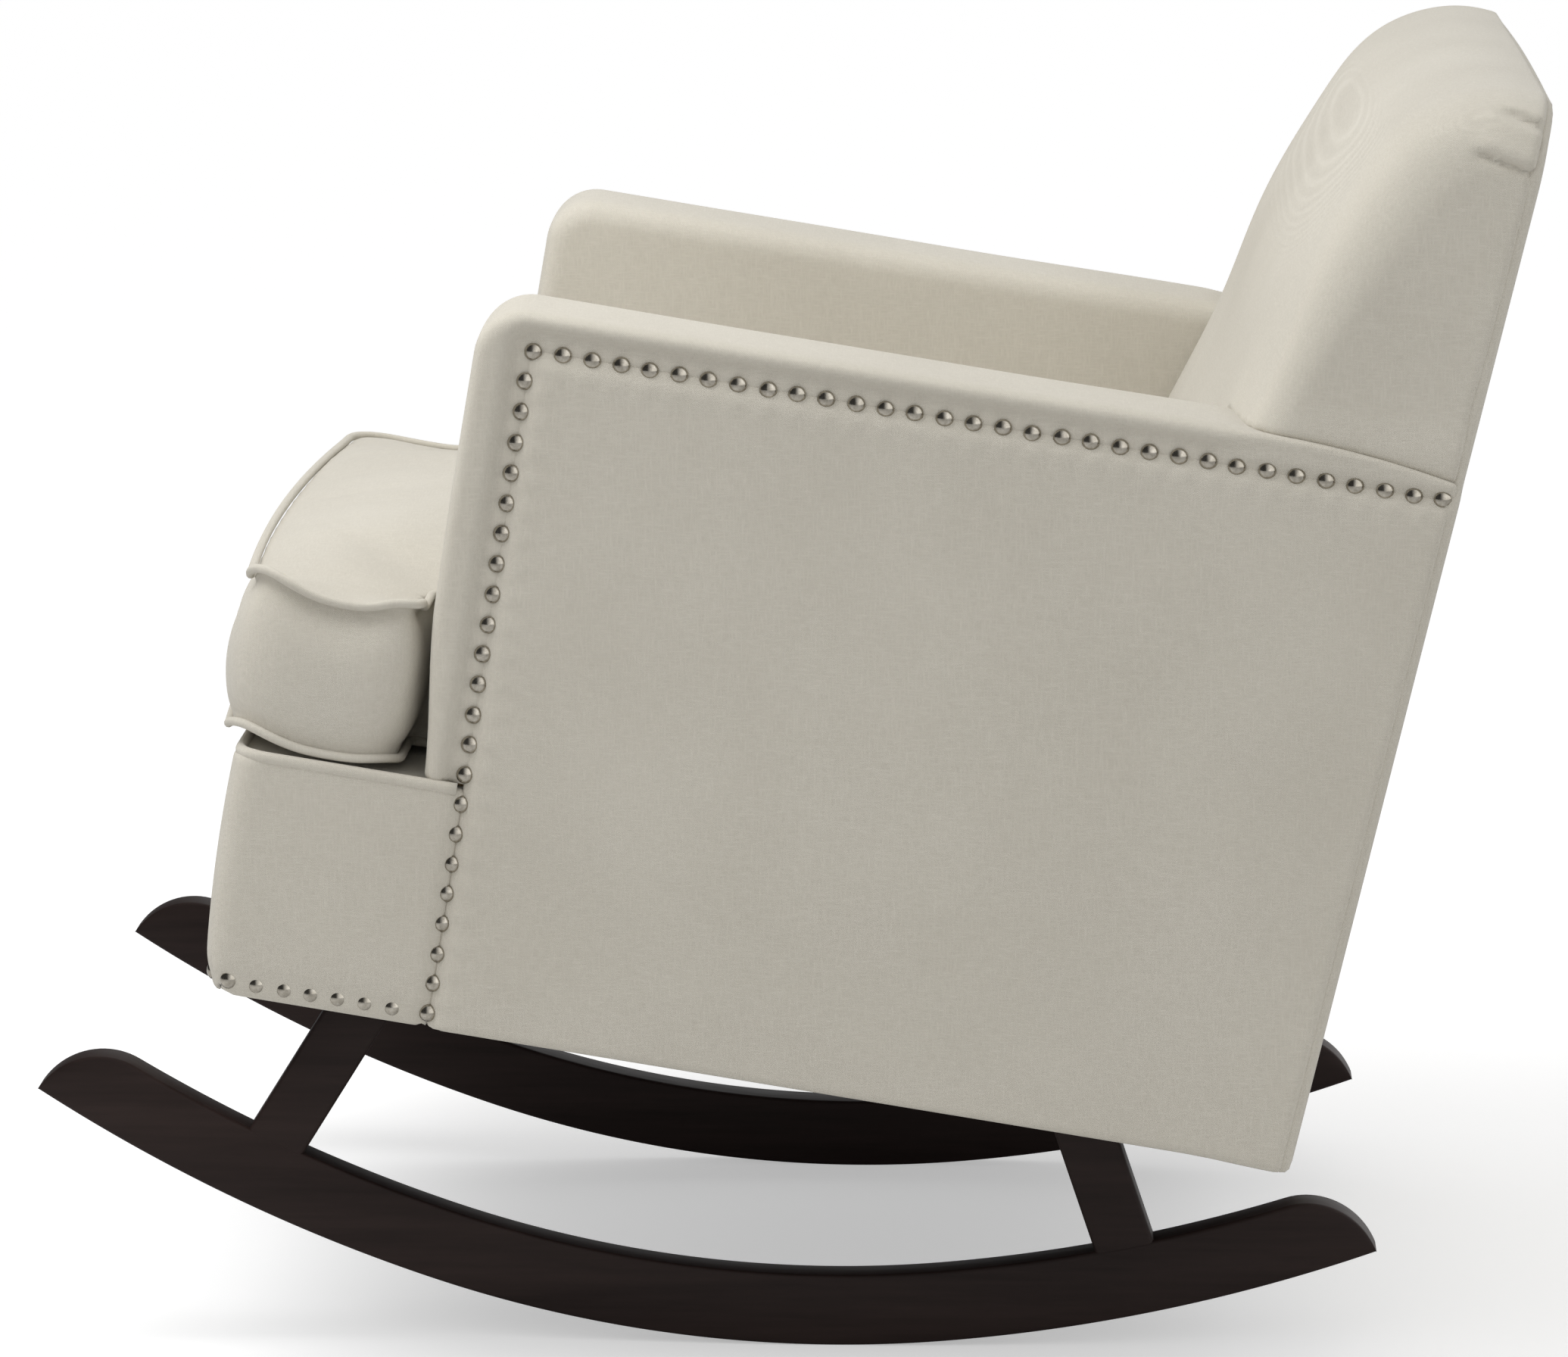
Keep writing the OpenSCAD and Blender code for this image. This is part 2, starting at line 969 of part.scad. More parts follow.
module side_nails() {
    row_end = rear(nail_row_z) - 12;
    row_pitch = (row_end - 3) / (arm_nails - 1);
    column_pitch = (nail_row_z - nail_low_z) / column_nails;
    ear_end = -ear_depth + 16;
    ear_pitch = (-21.5 - ear_end) / (ear_nails - 1);
    row = [for (i = [0:arm_nails - 1]) [3 + i * row_pitch, nail_row_z]];
    column = [for (i = [1:column_nails]) [nail_line_y, nail_row_z - i * column_pitch]];
    ear = [for (i = [0:ear_nails - 1]) [-21.5 - i * ear_pitch, nail_low_z]];
    for (p = concat(row, column, ear))
        translate([half_w, p[0], p[1]])
            rotate([0, 90, 0])
                nail();
}

module nails(side) {
    color(pewter)
        stand_body()
            on_side(side)
                side_nails();
}

module nails_front() {
    pitch = 2 * front_nail_x / (front_nails - 1);
    color(pewter)
        stand_body()
            for (i = [0:front_nails - 1])
                translate([-front_nail_x + i * pitch, -ear_depth, nail_low_z])
                    rotate([90, 0, 0])
                        nail();
}

// Seat cushion

// Plan of the cushion, with its rear edge at rear_edge
module cushion_plan(inset, rear_edge) {
    r = cushion_round - inset;
    round_rect([-cushion_w + inset, -cushion_front + inset], [cushion_w - inset, ear_back_y - inset], r);
    round_rect([-stem_w + inset, -cushion_front + 2 * cushion_round], [stem_w - inset, rear_edge - inset], r);
}

module cushion_block(inset) {
    low = cushion_low + inset;
    top = cushion_top - inset;
    reach = stem_w + cushion_w;
    intersection() {
        translate([0, 0, low])
            linear_extrude(top - low)
                cushion_plan(inset, cushion_rear(cushion_top));
        slab(-reach, reach)
            polygon([
                [-2 * cushion_front, low], [cushion_rear(low) - inset, low],
                [cushion_rear(top) - inset, top], [-2 * cushion_front, top]
            ]);
    }
}

// Piping round the whole plan at one height
module piping_loop(z) {
    r = cushion_round;
    back = cushion_rear(z);
    piping_run([-cushion_w + r, -cushion_front, z], [cushion_w - r, -cushion_front, z], piping_r);
    piping_run([-stem_w + r, back, z], [stem_w - r, back, z], piping_r);
    both_sides() {
        piping_bend([cushion_w - r, -cushion_front + r, z], 270, r, piping_r);
        piping_run([cushion_w, -cushion_front + r, z], [cushion_w, ear_back_y - r, z], piping_r);
        piping_bend([cushion_w - r, ear_back_y - r, z], 0, r, piping_r);
        piping_run([stem_w, ear_back_y, z], [cushion_w - r, ear_back_y, z], piping_r);
        translate([stem_w, ear_back_y, z])
            sphere(piping_r, $fn = round_fn);
        piping_run([stem_w, ear_back_y, z], [stem_w, back - r, z], piping_r);
        piping_bend([stem_w - r, back - r, z], 0, r, piping_r);
    }
}

module cushion_core() {
    color(foam)
        stand_body()
            cushion_block(cushion_skin);
}

module cushion_cover() {
    color(linen)
        stand_body()
            difference() {
                cushion_block(0);
                cushion_block(cushion_skin);
                piping_loop(cushion_low);
                piping_loop(cushion_top);
            }
}

module piping_top() {
    color(linen_dark)
        stand_body()
            piping_loop(cushion_top);
}

module piping_bottom() {
    color(linen_dark)
        stand_body()
            piping_loop(cushion_low);
}

// Leans what it holds with the rear boxing: local y is 0 on the boxing, at the middle of its height
module on_rear_boxing() {
    mid = (cushion_low + cushion_top) / 2;
    translate([0, cushion_rear(mid), mid])
        rotate([-front_angle, 0, 0])
            children();
}

module zip_tape() {
    color(linen_dark)
        stand_body()
            on_rear_boxing()
                box([-zip_len / 2, 0, -zip_w / 2], [zip_len / 2, 1, zip_w / 2]);
}

module zip_puller() {
    size = [7, 1.2, 20];
    hole_r = 1.8;
    color(pewter)
        stand_body()
            on_rear_boxing()
                translate([zip_len / 2 - 2 * size[0], 1, -size[2]])
                    difference() {
                        cube(size);
                        translate([size[0] / 2, -cut, hole_r * 2])
                            rotate([-90, 0, 0])
                                cylinder(h = 4, r = hole_r, $fn = round_fn);
                    }
}

runner(-1);  // runner_left
runner(1);  // runner_right
leg(-1, -1);  // leg_front_left
leg(1, -1);  // leg_front_right
leg(-1, 1);  // leg_rear_left
leg(1, 1);  // leg_rear_right
leg_dowels();
leg_bolts();
leg_washers();
leg_nuts();
seat_rail_front();
seat_rail_side(-1);  // seat_rail_left
seat_rail_side(1);  // seat_rail_right
seat_rail_rear();
seat_rail_cross();
spring_rail();
ear_rail(-1);  // ear_rail_left
ear_rail(1);  // ear_rail_right
corner_blocks();
arm_post(-1);  // arm_post_left
arm_post(1);  // arm_post_right
arm_board(-1);  // arm_board_left
arm_board(1);  // arm_board_right
arm_liner(-1);  // arm_liner_left
arm_liner(1);  // arm_liner_right
arm_rail(-1);  // arm_rail_left
arm_rail(1);  // arm_rail_right
back_side(-1);  // back_side_left
back_side(1);  // back_side_right
back_crest_rail();
back_lower_rail();
back_webbing();
seat_springs();
spring_clips();
deck_cloth();
deck_pad();
deck_cover();
arm_stiffener(-1);  // arm_stiffener_left
arm_stiffener(1);  // arm_stiffener_right
back_stiffener();
outside_arm(-1);  // outside_arm_left
outside_arm(1);  // outside_arm_right
arm_cover(-1);  // arm_cover_left
arm_cover(1);  // arm_cover_right
front_cover();
lip_welt();
inside_back();
outside_back();
dust_cover();
nails(-1);  // nails_left
nails(1);  // nails_right
nails_front();
cushion_core();
cushion_cover();
piping_top();
piping_bottom();
zip_tape();
zip_puller();
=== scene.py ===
"""Looks for the upholstered rocking chair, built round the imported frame.

The upholstered pieces are shaped in the body's own level frame, in millimetres: y runs back from the
front nail column and z up from the underside. to_row() turns that frame into the row frame, in metres.
Near is the +X side and far the -X side. Each *_shape function gives a distance in millimetres from a
piece's surface, negative inside it, and surface() makes the mesh.
"""

import json
import math

import bpy
import numpy as np
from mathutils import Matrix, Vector
from mathutils.bvhtree import BVHTree
from mathutils.geometry import delaunay_2d_cdt


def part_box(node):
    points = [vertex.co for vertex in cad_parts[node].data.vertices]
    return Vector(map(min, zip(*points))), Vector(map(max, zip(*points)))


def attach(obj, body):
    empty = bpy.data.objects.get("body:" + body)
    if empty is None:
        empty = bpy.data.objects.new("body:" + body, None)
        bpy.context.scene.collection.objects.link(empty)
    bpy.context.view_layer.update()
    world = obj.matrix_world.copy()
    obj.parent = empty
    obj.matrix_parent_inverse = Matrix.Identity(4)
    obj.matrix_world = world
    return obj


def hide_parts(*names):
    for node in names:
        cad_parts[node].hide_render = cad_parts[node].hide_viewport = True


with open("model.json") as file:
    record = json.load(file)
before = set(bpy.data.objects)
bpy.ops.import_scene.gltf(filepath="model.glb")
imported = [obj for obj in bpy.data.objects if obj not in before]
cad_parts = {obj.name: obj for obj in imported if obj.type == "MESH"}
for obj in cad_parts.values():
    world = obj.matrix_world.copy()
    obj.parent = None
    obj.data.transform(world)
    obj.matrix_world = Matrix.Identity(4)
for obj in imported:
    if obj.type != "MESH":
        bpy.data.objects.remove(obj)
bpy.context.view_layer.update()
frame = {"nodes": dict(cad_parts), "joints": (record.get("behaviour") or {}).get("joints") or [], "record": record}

# ---------------- frames

MM = 1000
LEAN_SIN, LEAN_COS = frame["joints"][0]["axis"][1:]
LEAN = math.atan2(LEAN_SIN, LEAN_COS)
PANEL_LOW, PANEL_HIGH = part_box("outside_arm_right")
PANEL_FRONT, PANEL_BOTTOM, PANEL_TOP = 1.0, 3.0, 436.0
ORIGIN_Y = PANEL_LOW.y * MM - PANEL_FRONT * LEAN_COS - PANEL_BOTTOM * LEAN_SIN
ORIGIN_Z = PANEL_HIGH.z * MM + PANEL_FRONT * LEAN_SIN - PANEL_TOP * LEAN_COS


def to_row(p):
    """From the body frame in millimetres to the row frame in metres."""
    p = np.asarray(p, float)
    y = ORIGIN_Y + p[..., 1] * LEAN_COS + p[..., 2] * LEAN_SIN
    z = ORIGIN_Z - p[..., 1] * LEAN_SIN + p[..., 2] * LEAN_COS
    return np.stack([p[..., 0], y, z], -1) / MM


def to_body(q):
    """From the row frame in metres to the body frame in millimetres."""
    q = np.asarray(q, float) * MM
    y, z = q[..., 1] - ORIGIN_Y, q[..., 2] - ORIGIN_Z
    return np.stack([q[..., 0], y * LEAN_COS - z * LEAN_SIN, y * LEAN_SIN + z * LEAN_COS], -1)


def node_points(node):
    """A CAD node's vertices in the body frame."""
    return to_body([v.co for v in frame["nodes"][node].data.vertices])


def node_box(node):
    """A CAD node's lowest and highest coordinates in the body frame."""
    p = node_points(node)
    return p.min(0), p.max(0)


ARM_LOW, ARM_HIGH = node_box("arm_cover_right")
FRONT_LOW, FRONT_HIGH = node_box("front_cover")
BACK_HIGH = node_box("inside_back")[1]
HALF_W = PANEL_HIGH.x * MM
INNER_X, ARM_FRONT, ARM_TOP = ARM_LOW[0], ARM_LOW[1], ARM_HIGH[2]
FRONT_Y, RAIL_TOP = FRONT_LOW[1], FRONT_HIGH[2]
BACK_W = BACK_HIGH[0]
REAR_Y, REAR_SLOPE = 553.0, math.tan(math.radians(4.27))
FACE_Y, FACE_SLOPE = 339.0, math.tan(math.radians(17.3))


def rear(z):
    """How far back the chair's rear reaches at a height."""
    return REAR_Y + z * REAR_SLOPE


def back_face(z):
    """How far back the inside back's flat face is at a height."""
    return FACE_Y + (z - RAIL_TOP) * FACE_SLOPE


# ---------------- shape tools


def ease(t):
    """A smooth step from 0 to 1."""
    t = np.clip(t, 0, 1)
    return t * t * (3 - 2 * t)


def bell(d, width):
    """A smooth bump, 1 at d = 0."""
    return np.exp(-((d / width) ** 2))


def blend(a, b, t):
    return a + (b - a) * t


def round_max(a, b, r):
    """The larger of two distances, with the corner between them rounded to radius r."""
    u, v = np.maximum(a + r, 0), np.maximum(b + r, 0)
    return np.minimum(np.maximum(a, b) + r, 0) + np.hypot(u, v) - r


def spline(a, b, c, d, t):
    """A Catmull-Rom curve between b and c."""
    square, cube = 2 * a - 5 * b + 4 * c - d, 3 * b - a - 3 * c + d
    return 0.5 * (2 * b + (c - a) * t + square * t ** 2 + cube * t ** 3)


def curve_through(points, count):
    """A smooth curve through the points, as count points on each stretch."""
    p = np.array(points, float)
    p = np.vstack([2 * p[0] - p[1], p, 2 * p[-1] - p[-2]])
    t = np.linspace(0, 1, count, endpoint=False)[:, None]
    rows = [spline(*ends, t) for ends in zip(p[:-3], p[1:-2], p[2:-1], p[3:])]
    return np.vstack(rows + [p[-2:-1]])


def region(points, step=2.0, margin=60):
    """The signed distance to a closed outline, as a function of two coordinates."""
    p = np.array(points, float)
    low = p.min(0) - margin
    size = ((p.max(0) + margin - low) / step).astype(int) + 2
    u, v = np.meshgrid(low[0] + np.arange(size[0]) * step, low[1] + np.arange(size[1]) * step, indexing="ij")
    best, inside = np.full(u.shape, np.inf), np.zeros(u.shape, bool)
    for s, e in zip(p, np.roll(p, -1, 0)):
        d = e - s
        if d @ d == 0:
            continue
        t = np.clip(((u - s[0]) * d[0] + (v - s[1]) * d[1]) / (d @ d), 0, 1)
        best = np.minimum(best, np.hypot(u - s[0] - t * d[0], v - s[1] - t * d[1]))
        if s[1] != e[1]:
            inside ^= ((s[1] > v) != (e[1] > v)) & (u < d[0] * (v - s[1]) / d[1] + s[0])
    field = np.where(inside, -best, best)
    smoothing_rounds = 4
    for _ in range(smoothing_rounds):
        beside = field[:-2, 1:-1] + field[2:, 1:-1] + field[1:-1, :-2] + field[1:-1, 2:]
        field[1:-1, 1:-1] = beside / 4

    def distance(a, b):
        i = np.clip((a - low[0]) / step, 0, size[0] - 1.001)
        j = np.clip((b - low[1]) / step, 0, size[1] - 1.001)
        i0, j0 = i.astype(int), j.astype(int)
        i, j = i - i0, j - j0
        near = field[i0, j0] * (1 - i) + field[i0 + 1, j0] * i
        far = field[i0, j0 + 1] * (1 - i) + field[i0 + 1, j0 + 1] * i
        return near * (1 - j) + far * j

    return distance


def slopes(f, p):
    """How fast f changes along each axis at the points."""
    reach = 0.4
    g = np.empty_like(p)
    for k in range(3):
        d = np.zeros(3)
        d[k] = reach
        g[:, k] = (f(p + d) - f(p - d)) / (2 * reach)
    return g


def crossings(value, grid, step):
    """The grid edges that the surface crosses, and the sum and number of the crossings round each cell."""
    n = value.shape
    cells = tuple(k - 1 for k in n)
    total, count = np.zeros(cells + (3,)), np.zeros(cells)
    edges = []
    for k in range(3):
        a = np.take(value, range(n[k] - 1), k)
        b = np.take(value, range(1, n[k]), k)
        crossed = (a < 0) != (b < 0)
        t = np.where(crossed, a / np.where(a == b, 1, a - b), 0)
        place = np.take(grid, range(n[k] - 1), k).copy()
        place[..., k] += t * step
        u, v = [m for m in range(3) if m != k]
        for du in (0, 1):
            for dv in (0, 1):
                cut = [slice(None)] * 3
                cut[u] = slice(du, n[u] - 1 + du)
                cut[v] = slice(dv, n[v] - 1 + dv)
                cut = tuple(cut)
                total += np.where(crossed[cut][..., None], place[cut], 0)
                count += crossed[cut]
        edges.append((crossed, a < 0, u, v))
    return edges, total, count


def surface(f, low, high, step, rounds=4):
    """The surface f = 0 as an even quad mesh: one vertex in each grid cell that it crosses, slid along it."""
    axes = [np.arange(a, b + step, step) for a, b in zip(low, high)]
    grid = np.stack(np.meshgrid(*axes, indexing="ij"), -1)
    value = f(grid)
    n = value.shape
    edges, total, count = crossings(value, grid, step)
    used = count > 0
    ids = np.full(count.shape, -1)
    ids[used] = np.arange(used.sum())
    p = total[used] / count[used][:, None]
    quads = []
    for k, (crossed, starts_in, u, v) in enumerate(edges):
        where = np.argwhere(crossed)
        ok = (where[:, u] > 0) & (where[:, v] > 0) & (where[:, u] < n[u] - 1) & (where[:, v] < n[v] - 1)
        where = where[ok]
        ring = []
        for du, dv in ((-1, -1), (0, -1), (0, 0), (-1, 0)):
            c = where.copy()
            c[:, u] += du
            c[:, v] += dv
            ring.append(ids[tuple(c.T)])
        ring = np.stack(ring, 1)
        flip = ~starts_in[tuple(where.T)]
        if k == 1:
            flip = ~flip
        ring[flip] = ring[flip][:, ::-1]
        quads.append(ring)
    quads = np.vstack(quads)
    return even_out(f, p, quads, step, rounds), quads


def even_out(f, p, quads, step, rounds):
    """Brings the vertices onto f = 0, and slides them along it towards the middle of their neighbours."""
    least_slope, slide_share = 0.05, 0.6
    links = np.vstack([quads[:, [m, (m + 1) % 4]] for m in range(4)])
    a, b = np.concatenate([links[:, 0], links[:, 1]]), np.concatenate([links[:, 1], links[:, 0]])
    degree = np.maximum(np.bincount(a, minlength=len(p)), 1)[:, None]
    for i in range(rounds + 1):
        g = slopes(f, p)
        size = np.maximum((g ** 2).sum(1), least_slope)
        p = p - g * np.clip(f(p) / size, -step, step)[:, None]
        if i == rounds:
            break
        mean = np.stack([np.bincount(a, p[b, k], len(p)) for k in range(3)], 1) / degree
        g /= np.sqrt(size)[:, None]
        slide = mean - p
        p = p + slide_share * (slide - (slide * g).sum(1)[:, None] * g)
    return p


def ring_quads(count, sides, closed=False):
    """Quads from each ring of points to the next one."""
    faces = []
    for i in range(count if closed else count - 1):
        j = (i + 1) % count
        for k in range(sides):
            m = (k + 1) % sides
            faces.append([i * sides + k, i * sides + m, j * sides + m, j * sides + k])
    return faces


def outward(ring):
    """Unit vectors that point level out of a ring of points that runs anticlockwise."""
    ahead = np.roll(ring, -1, 0) - np.roll(ring, 1, 0)
    out = np.column_stack([ahead[:, 1], -ahead[:, 0], np.zeros(len(ring))])
    return out / np.linalg.norm(out, axis=1)[:, None]


# ---------------- materials


class Nodes:
    """Short names for making and joining shader nodes."""

    def __init__(self, name):
        self.material = bpy.data.materials.new(name)
        self.material.use_nodes = True
        self.tree = self.material.node_tree
        self.shader = self.tree.nodes["Principled BSDF"]

    def add(self, kind, settings=None, **inputs):
        node = self.tree.nodes.new("ShaderNode" + kind)
        for key, value in (settings or {}).items():
            setattr(node, key, value)
        for key, value in inputs.items():
            self.put(node.inputs[key.replace("_", " ")], value)
        return node

    def put(self, socket, value):
        if isinstance(value, bpy.types.NodeSocket):
            self.tree.links.new(value, socket)
        elif value is not None:
            socket.default_value = value

    def math(self, kind, a, b=None):
        node = self.tree.nodes.new("ShaderNodeMath")
        node.operation = kind
        for socket, value in zip(node.inputs, (a, b)):
            self.put(socket, value)
        return node.outputs[0]

    def coords(self, scale=(1, 1, 1)):
        """Places along the body's own axes, in metres."""
        place = self.add("TexCoord").outputs["Object"]
        return self.add("Mapping", Vector=place, Scale=scale, Rotation=(-LEAN, 0, 0)).outputs[0]

    def noise(self, vector, scale, detail=2.0, rough=0.5):
        return self.add("TexNoise", Vector=vector, Scale=scale, Detail=detail, Roughness=rough).outputs["Fac"]

    def ramp(self, value, stops):
        node = self.add("ValToRGB", Fac=value)
        for stop, (at, colour) in zip(node.color_ramp.elements, stops):
            stop.position = at
            stop.color = (*colour, 1)
        return node.outputs["Color"]

    def bump(self, height, strength, distance):
        node = self.add("Bump", Height=height, Strength=strength, Distance=distance)
        self.put(self.shader.inputs["Normal"], node.outputs[0])

    def set(self, **values):
        for key, value in values.items():
            self.put(self.shader.inputs[key.replace("_", " ")], value)


def woven(name, dark, light, pitch, bump, sheen=0.25):
    """A plain weave: threads of the given pitch in metres along the two body axes that lie in the surface."""
    wobble_scale, wobble_turns = 45.0, 9.0
    streak_fine, streak_long = 900.0, 110.0
    cross_tone, slub_tone, slub_height = 0.13, 0.616, 1.6
    cloud_scale, cloud_tone = 7.0, 0.38
    m = Nodes(name)
    place = m.coords()
    wobble = m.noise(place, wobble_scale, 3.0)
    split = m.add("SeparateXYZ", Vector=place)
    normal = m.add("NewGeometry").outputs["Normal"]
    facing = m.add("VectorRotate", {"rotation_type": "X_AXIS"}, Vector=normal, Angle=-LEAN).outputs[0]
    across = m.add("SeparateXYZ", Vector=facing)
    waves, streaks = [], []
    for k in range(3):
        turn = m.math("MULTIPLY", split.outputs[k], 2 * math.pi / pitch)
        turn = m.math("ADD", turn, m.math("MULTIPLY", wobble, wobble_turns + k))
        waves.append(m.math("SINE", turn))
        stretch = [streak_fine] * 3
        stretch[k] = streak_long
        streaks.append(m.noise(m.coords(stretch), 1.0, 2.0))
    weights = [m.math("POWER", m.math("ABSOLUTE", across.outputs[k]), 4.0) for k in range(3)]
    whole = m.math("ADD", m.math("ADD", weights[0], weights[1]), m.math("ADD", weights[2], 0.001))
    weave, slubs = None, None
    for k, (u, v) in enumerate(((1, 2), (0, 2), (0, 1))):
        share = m.math("DIVIDE", weights[k], whole)
        cell = m.math("MULTIPLY", share, m.math("MULTIPLY", waves[u], waves[v]))
        streak = m.math("MULTIPLY", share, m.math("MAXIMUM", streaks[u], streaks[v]))
        weave = cell if weave is None else m.math("ADD", weave, cell)
        slubs = streak if slubs is None else m.math("ADD", slubs, streak)
    slub_shade = m.math("MULTIPLY", m.math("SUBTRACT", slubs, 0.5), slub_tone)
    tone = m.math("ADD", m.math("MULTIPLY", weave, cross_tone), slub_shade)
    cloud = m.math("MULTIPLY", m.math("SUBTRACT", m.noise(place, cloud_scale, 3.0), 0.5), cloud_tone)
    value = m.math("ADD", m.math("ADD", tone, cloud), 0.5)
    m.set(Base_Color=m.ramp(value, [(0.0, dark), (1.0, light)]), Roughness=0.9)
    m.set(Sheen_Weight=sheen, Sheen_Roughness=0.45, Specular_IOR_Level=0.25)
    height = m.math("ADD", weave, m.math("MULTIPLY", slubs, slub_height))
    m.bump(height, bump, pitch * 0.35)
    return m.material


def grained(name, dark, light, roughness, stretch, scale, bump=0.15, spec=0.5, metal=0.0):
    """Wood, board, foam or metal: a stretched noise in two tones."""
    bump_depth = 0.0004
    m = Nodes(name)
    place = m.coords(stretch)
    coarse = m.noise(place, scale, 5.0, 0.6)
    fine = m.noise(place, scale * 6, 2.0)
    value = m.math("ADD", m.math("MULTIPLY", coarse, 0.75), m.math("MULTIPLY", fine, 0.25))
    m.set(Base_Color=m.ramp(value, [(0.3, dark), (0.7, light)]), Metallic=metal)
    low, high = roughness
    m.set(Roughness=m.math("ADD", m.math("MULTIPLY", fine, high - low), low))
    m.set(Specular_IOR_Level=spec)
    m.bump(value, bump, bump_depth)
    return m.material


EVEN, ALONG_X, ALONG_Y = (1, 1, 1), (2, 40, 40), (30, 2.2, 30)
PLIES = (300, 8, 8)

LINEN = woven("linen", (0.47, 0.435, 0.365), (0.74, 0.705, 0.62), 0.0011, 0.45)
DUST = woven("dust_cloth", (0.012, 0.012, 0.014), (0.03, 0.03, 0.033), 0.0016, 0.3, sheen=0.1)
JUTE = woven("jute", (0.28, 0.19, 0.09), (0.52, 0.40, 0.24), 0.004, 0.8, sheen=0.0)
ESPRESSO = grained(
    "espresso_wood", (0.014, 0.0085, 0.0075), (0.032, 0.0205, 0.018), (0.4, 0.55), ALONG_Y, 1.2, 0.2,
    spec=0.15)
FRAME_WOOD = grained("frame_wood", (0.42, 0.27, 0.13), (0.72, 0.54, 0.33), (0.6, 0.8), ALONG_X, 1.0)
PLYWOOD = grained("plywood", (0.46, 0.31, 0.16), (0.76, 0.58, 0.37), (0.55, 0.75), PLIES, 1.0)
FOAM = grained("foam", (0.70, 0.58, 0.30), (0.88, 0.78, 0.50), (0.85, 0.95), EVEN, 600.0, 0.6)
BOARD = grained("fibreboard", (0.24, 0.17, 0.10), (0.38, 0.29, 0.19), (0.8, 0.9), EVEN, 160.0)
STEEL = grained("zinc_steel", (0.42, 0.43, 0.45), (0.62, 0.63, 0.65), (0.3, 0.45), EVEN, 90.0, 0.1, metal=1.0)
SPRING = grained(
    "spring_steel", (0.26, 0.27, 0.29), (0.44, 0.45, 0.47), (0.35, 0.5), EVEN, 120.0, 0.1, metal=1.0)
PEWTER = grained(
    "pewter", (0.28, 0.255, 0.21), (0.56, 0.525, 0.46), (0.14, 0.26), EVEN, 260.0, 0.15, metal=1.0)

CAD_LOOKS = {
    "rocker_wood": ESPRESSO, "frame_wood": FRAME_WOOD, "plywood": PLYWOOD, "hardware_steel": STEEL,
    "spring_steel": SPRING, "webbing": JUTE, "burlap": JUTE, "foam": FOAM, "fibreboard": BOARD,
    "linen": LINEN, "dust_cloth": DUST, "nailhead_metal": PEWTER, "zip_tape": LINEN, "zip_metal": PEWTER,
}
SLOT_OF = {row["node"]: row["material_slot"] for row in frame["record"]["subparts"]}
for node_name, node_object in frame["nodes"].items():
    node_object.data.materials.clear()
    node_object.data.materials.append(CAD_LOOKS[SLOT_OF[node_name]])


# ---------------- making pieces


def piece(name, points, faces, material, node, body="chair", in_row=False):
    """A smooth mesh that stands for a CAD node and rides on its body."""
    points = points if in_row else to_row(points)
    faces = faces if isinstance(faces, list) else faces.tolist()
    mesh = bpy.data.meshes.new(name)
    mesh.from_pydata(np.asarray(points).tolist(), [], faces)
    mesh.update()
    mesh.polygons.foreach_set("use_smooth", np.ones(len(mesh.polygons), bool))
    mesh.materials.append(material)
    made = bpy.data.objects.new(name, mesh)
    bpy.context.scene.collection.objects.link(made)
    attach(made, body)
    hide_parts(node)
    return made


def mirrored(points, faces):
    return points * [-1, 1, 1], faces[:, ::-1]


def nail_places(node, along, end):
    """Where a CAD node's nails stand, from the ends of their shanks."""
    tolerance, spread = 0.05, 2
    p = node_points(node)
    tips = p[np.abs(p[:, along] - end) < tolerance]
    flat = np.delete(tips, along, 1)
    places = []
    for q in flat:
        if not any(np.hypot(*(q - c)) < spread for c in places):
            places.append(flat[np.hypot(*(flat - q).T) < spread].mean(0))
    return np.array(places)


NAIL_SHANK = 6.0
SIDE_NAILS = nail_places("nails_right", 0, HALF_W - NAIL_SHANK)
FRONT_NAILS = nail_places("nails_front", 1, FRONT_Y + NAIL_SHANK)


def dimples(y, z, places, width):
    """How much each nail pulls the cloth in around it, from 0 to about 1."""
    most = 1.3
    pull = np.zeros(np.shape(y))
    for a, b in places:
        near = (np.abs(y - a) < 3 * width) & (np.abs(z - b) < 3 * width)
        if near.any():
            pull[near] += np.exp(-((y[near] - a) ** 2 + (z[near] - b) ** 2) / width ** 2)
    return np.minimum(pull, most)


def drift(a, b, size, seed):
    """A gentle unevenness, as fabric over padding has."""
    return (np.sin(a / size + seed) * np.cos(b / (size * 1.3) + 2.1 * seed)
            + 0.6 * np.sin((a + 0.6 * b) / (size * 0.61) + 3.7 * seed)) / 1.6


# ---------------- arms

BAND_X = ARM_HIGH[0] + 0.8
ARM_MID, ARM_HALF = (INNER_X + HALF_W) / 2, 45
ARM_CROWN, ARM_FALL = 1.5, 4.0
ARM_ROUND, ARM_INNER_ROUND, ARM_BAND_ROUND, HIDDEN_ROUND = 31, 15, 9, 4
WING_FRONT, WING_SEAT, WING_SLOPE_START = 425, 35, 455
WING_SINK, WING_DROP, WING_RUN = 4, 11.2, 120
BELLY, BELLY_Z = 1.5, 330
RECESS, RECESS_TOP, RECESS_RUN = 9, 270, 120
DIMPLE_R, PANEL_DIMPLE_R = 7.0, 6.5
ARM_STEP = 2.8


def wing_sole(y):
    """Height of the seam where the back's wings sit on the arms."""
    return ARM_TOP - WING_SINK - WING_DROP * np.clip((y - WING_SLOPE_START) / WING_RUN, 0, 1.2) ** 2


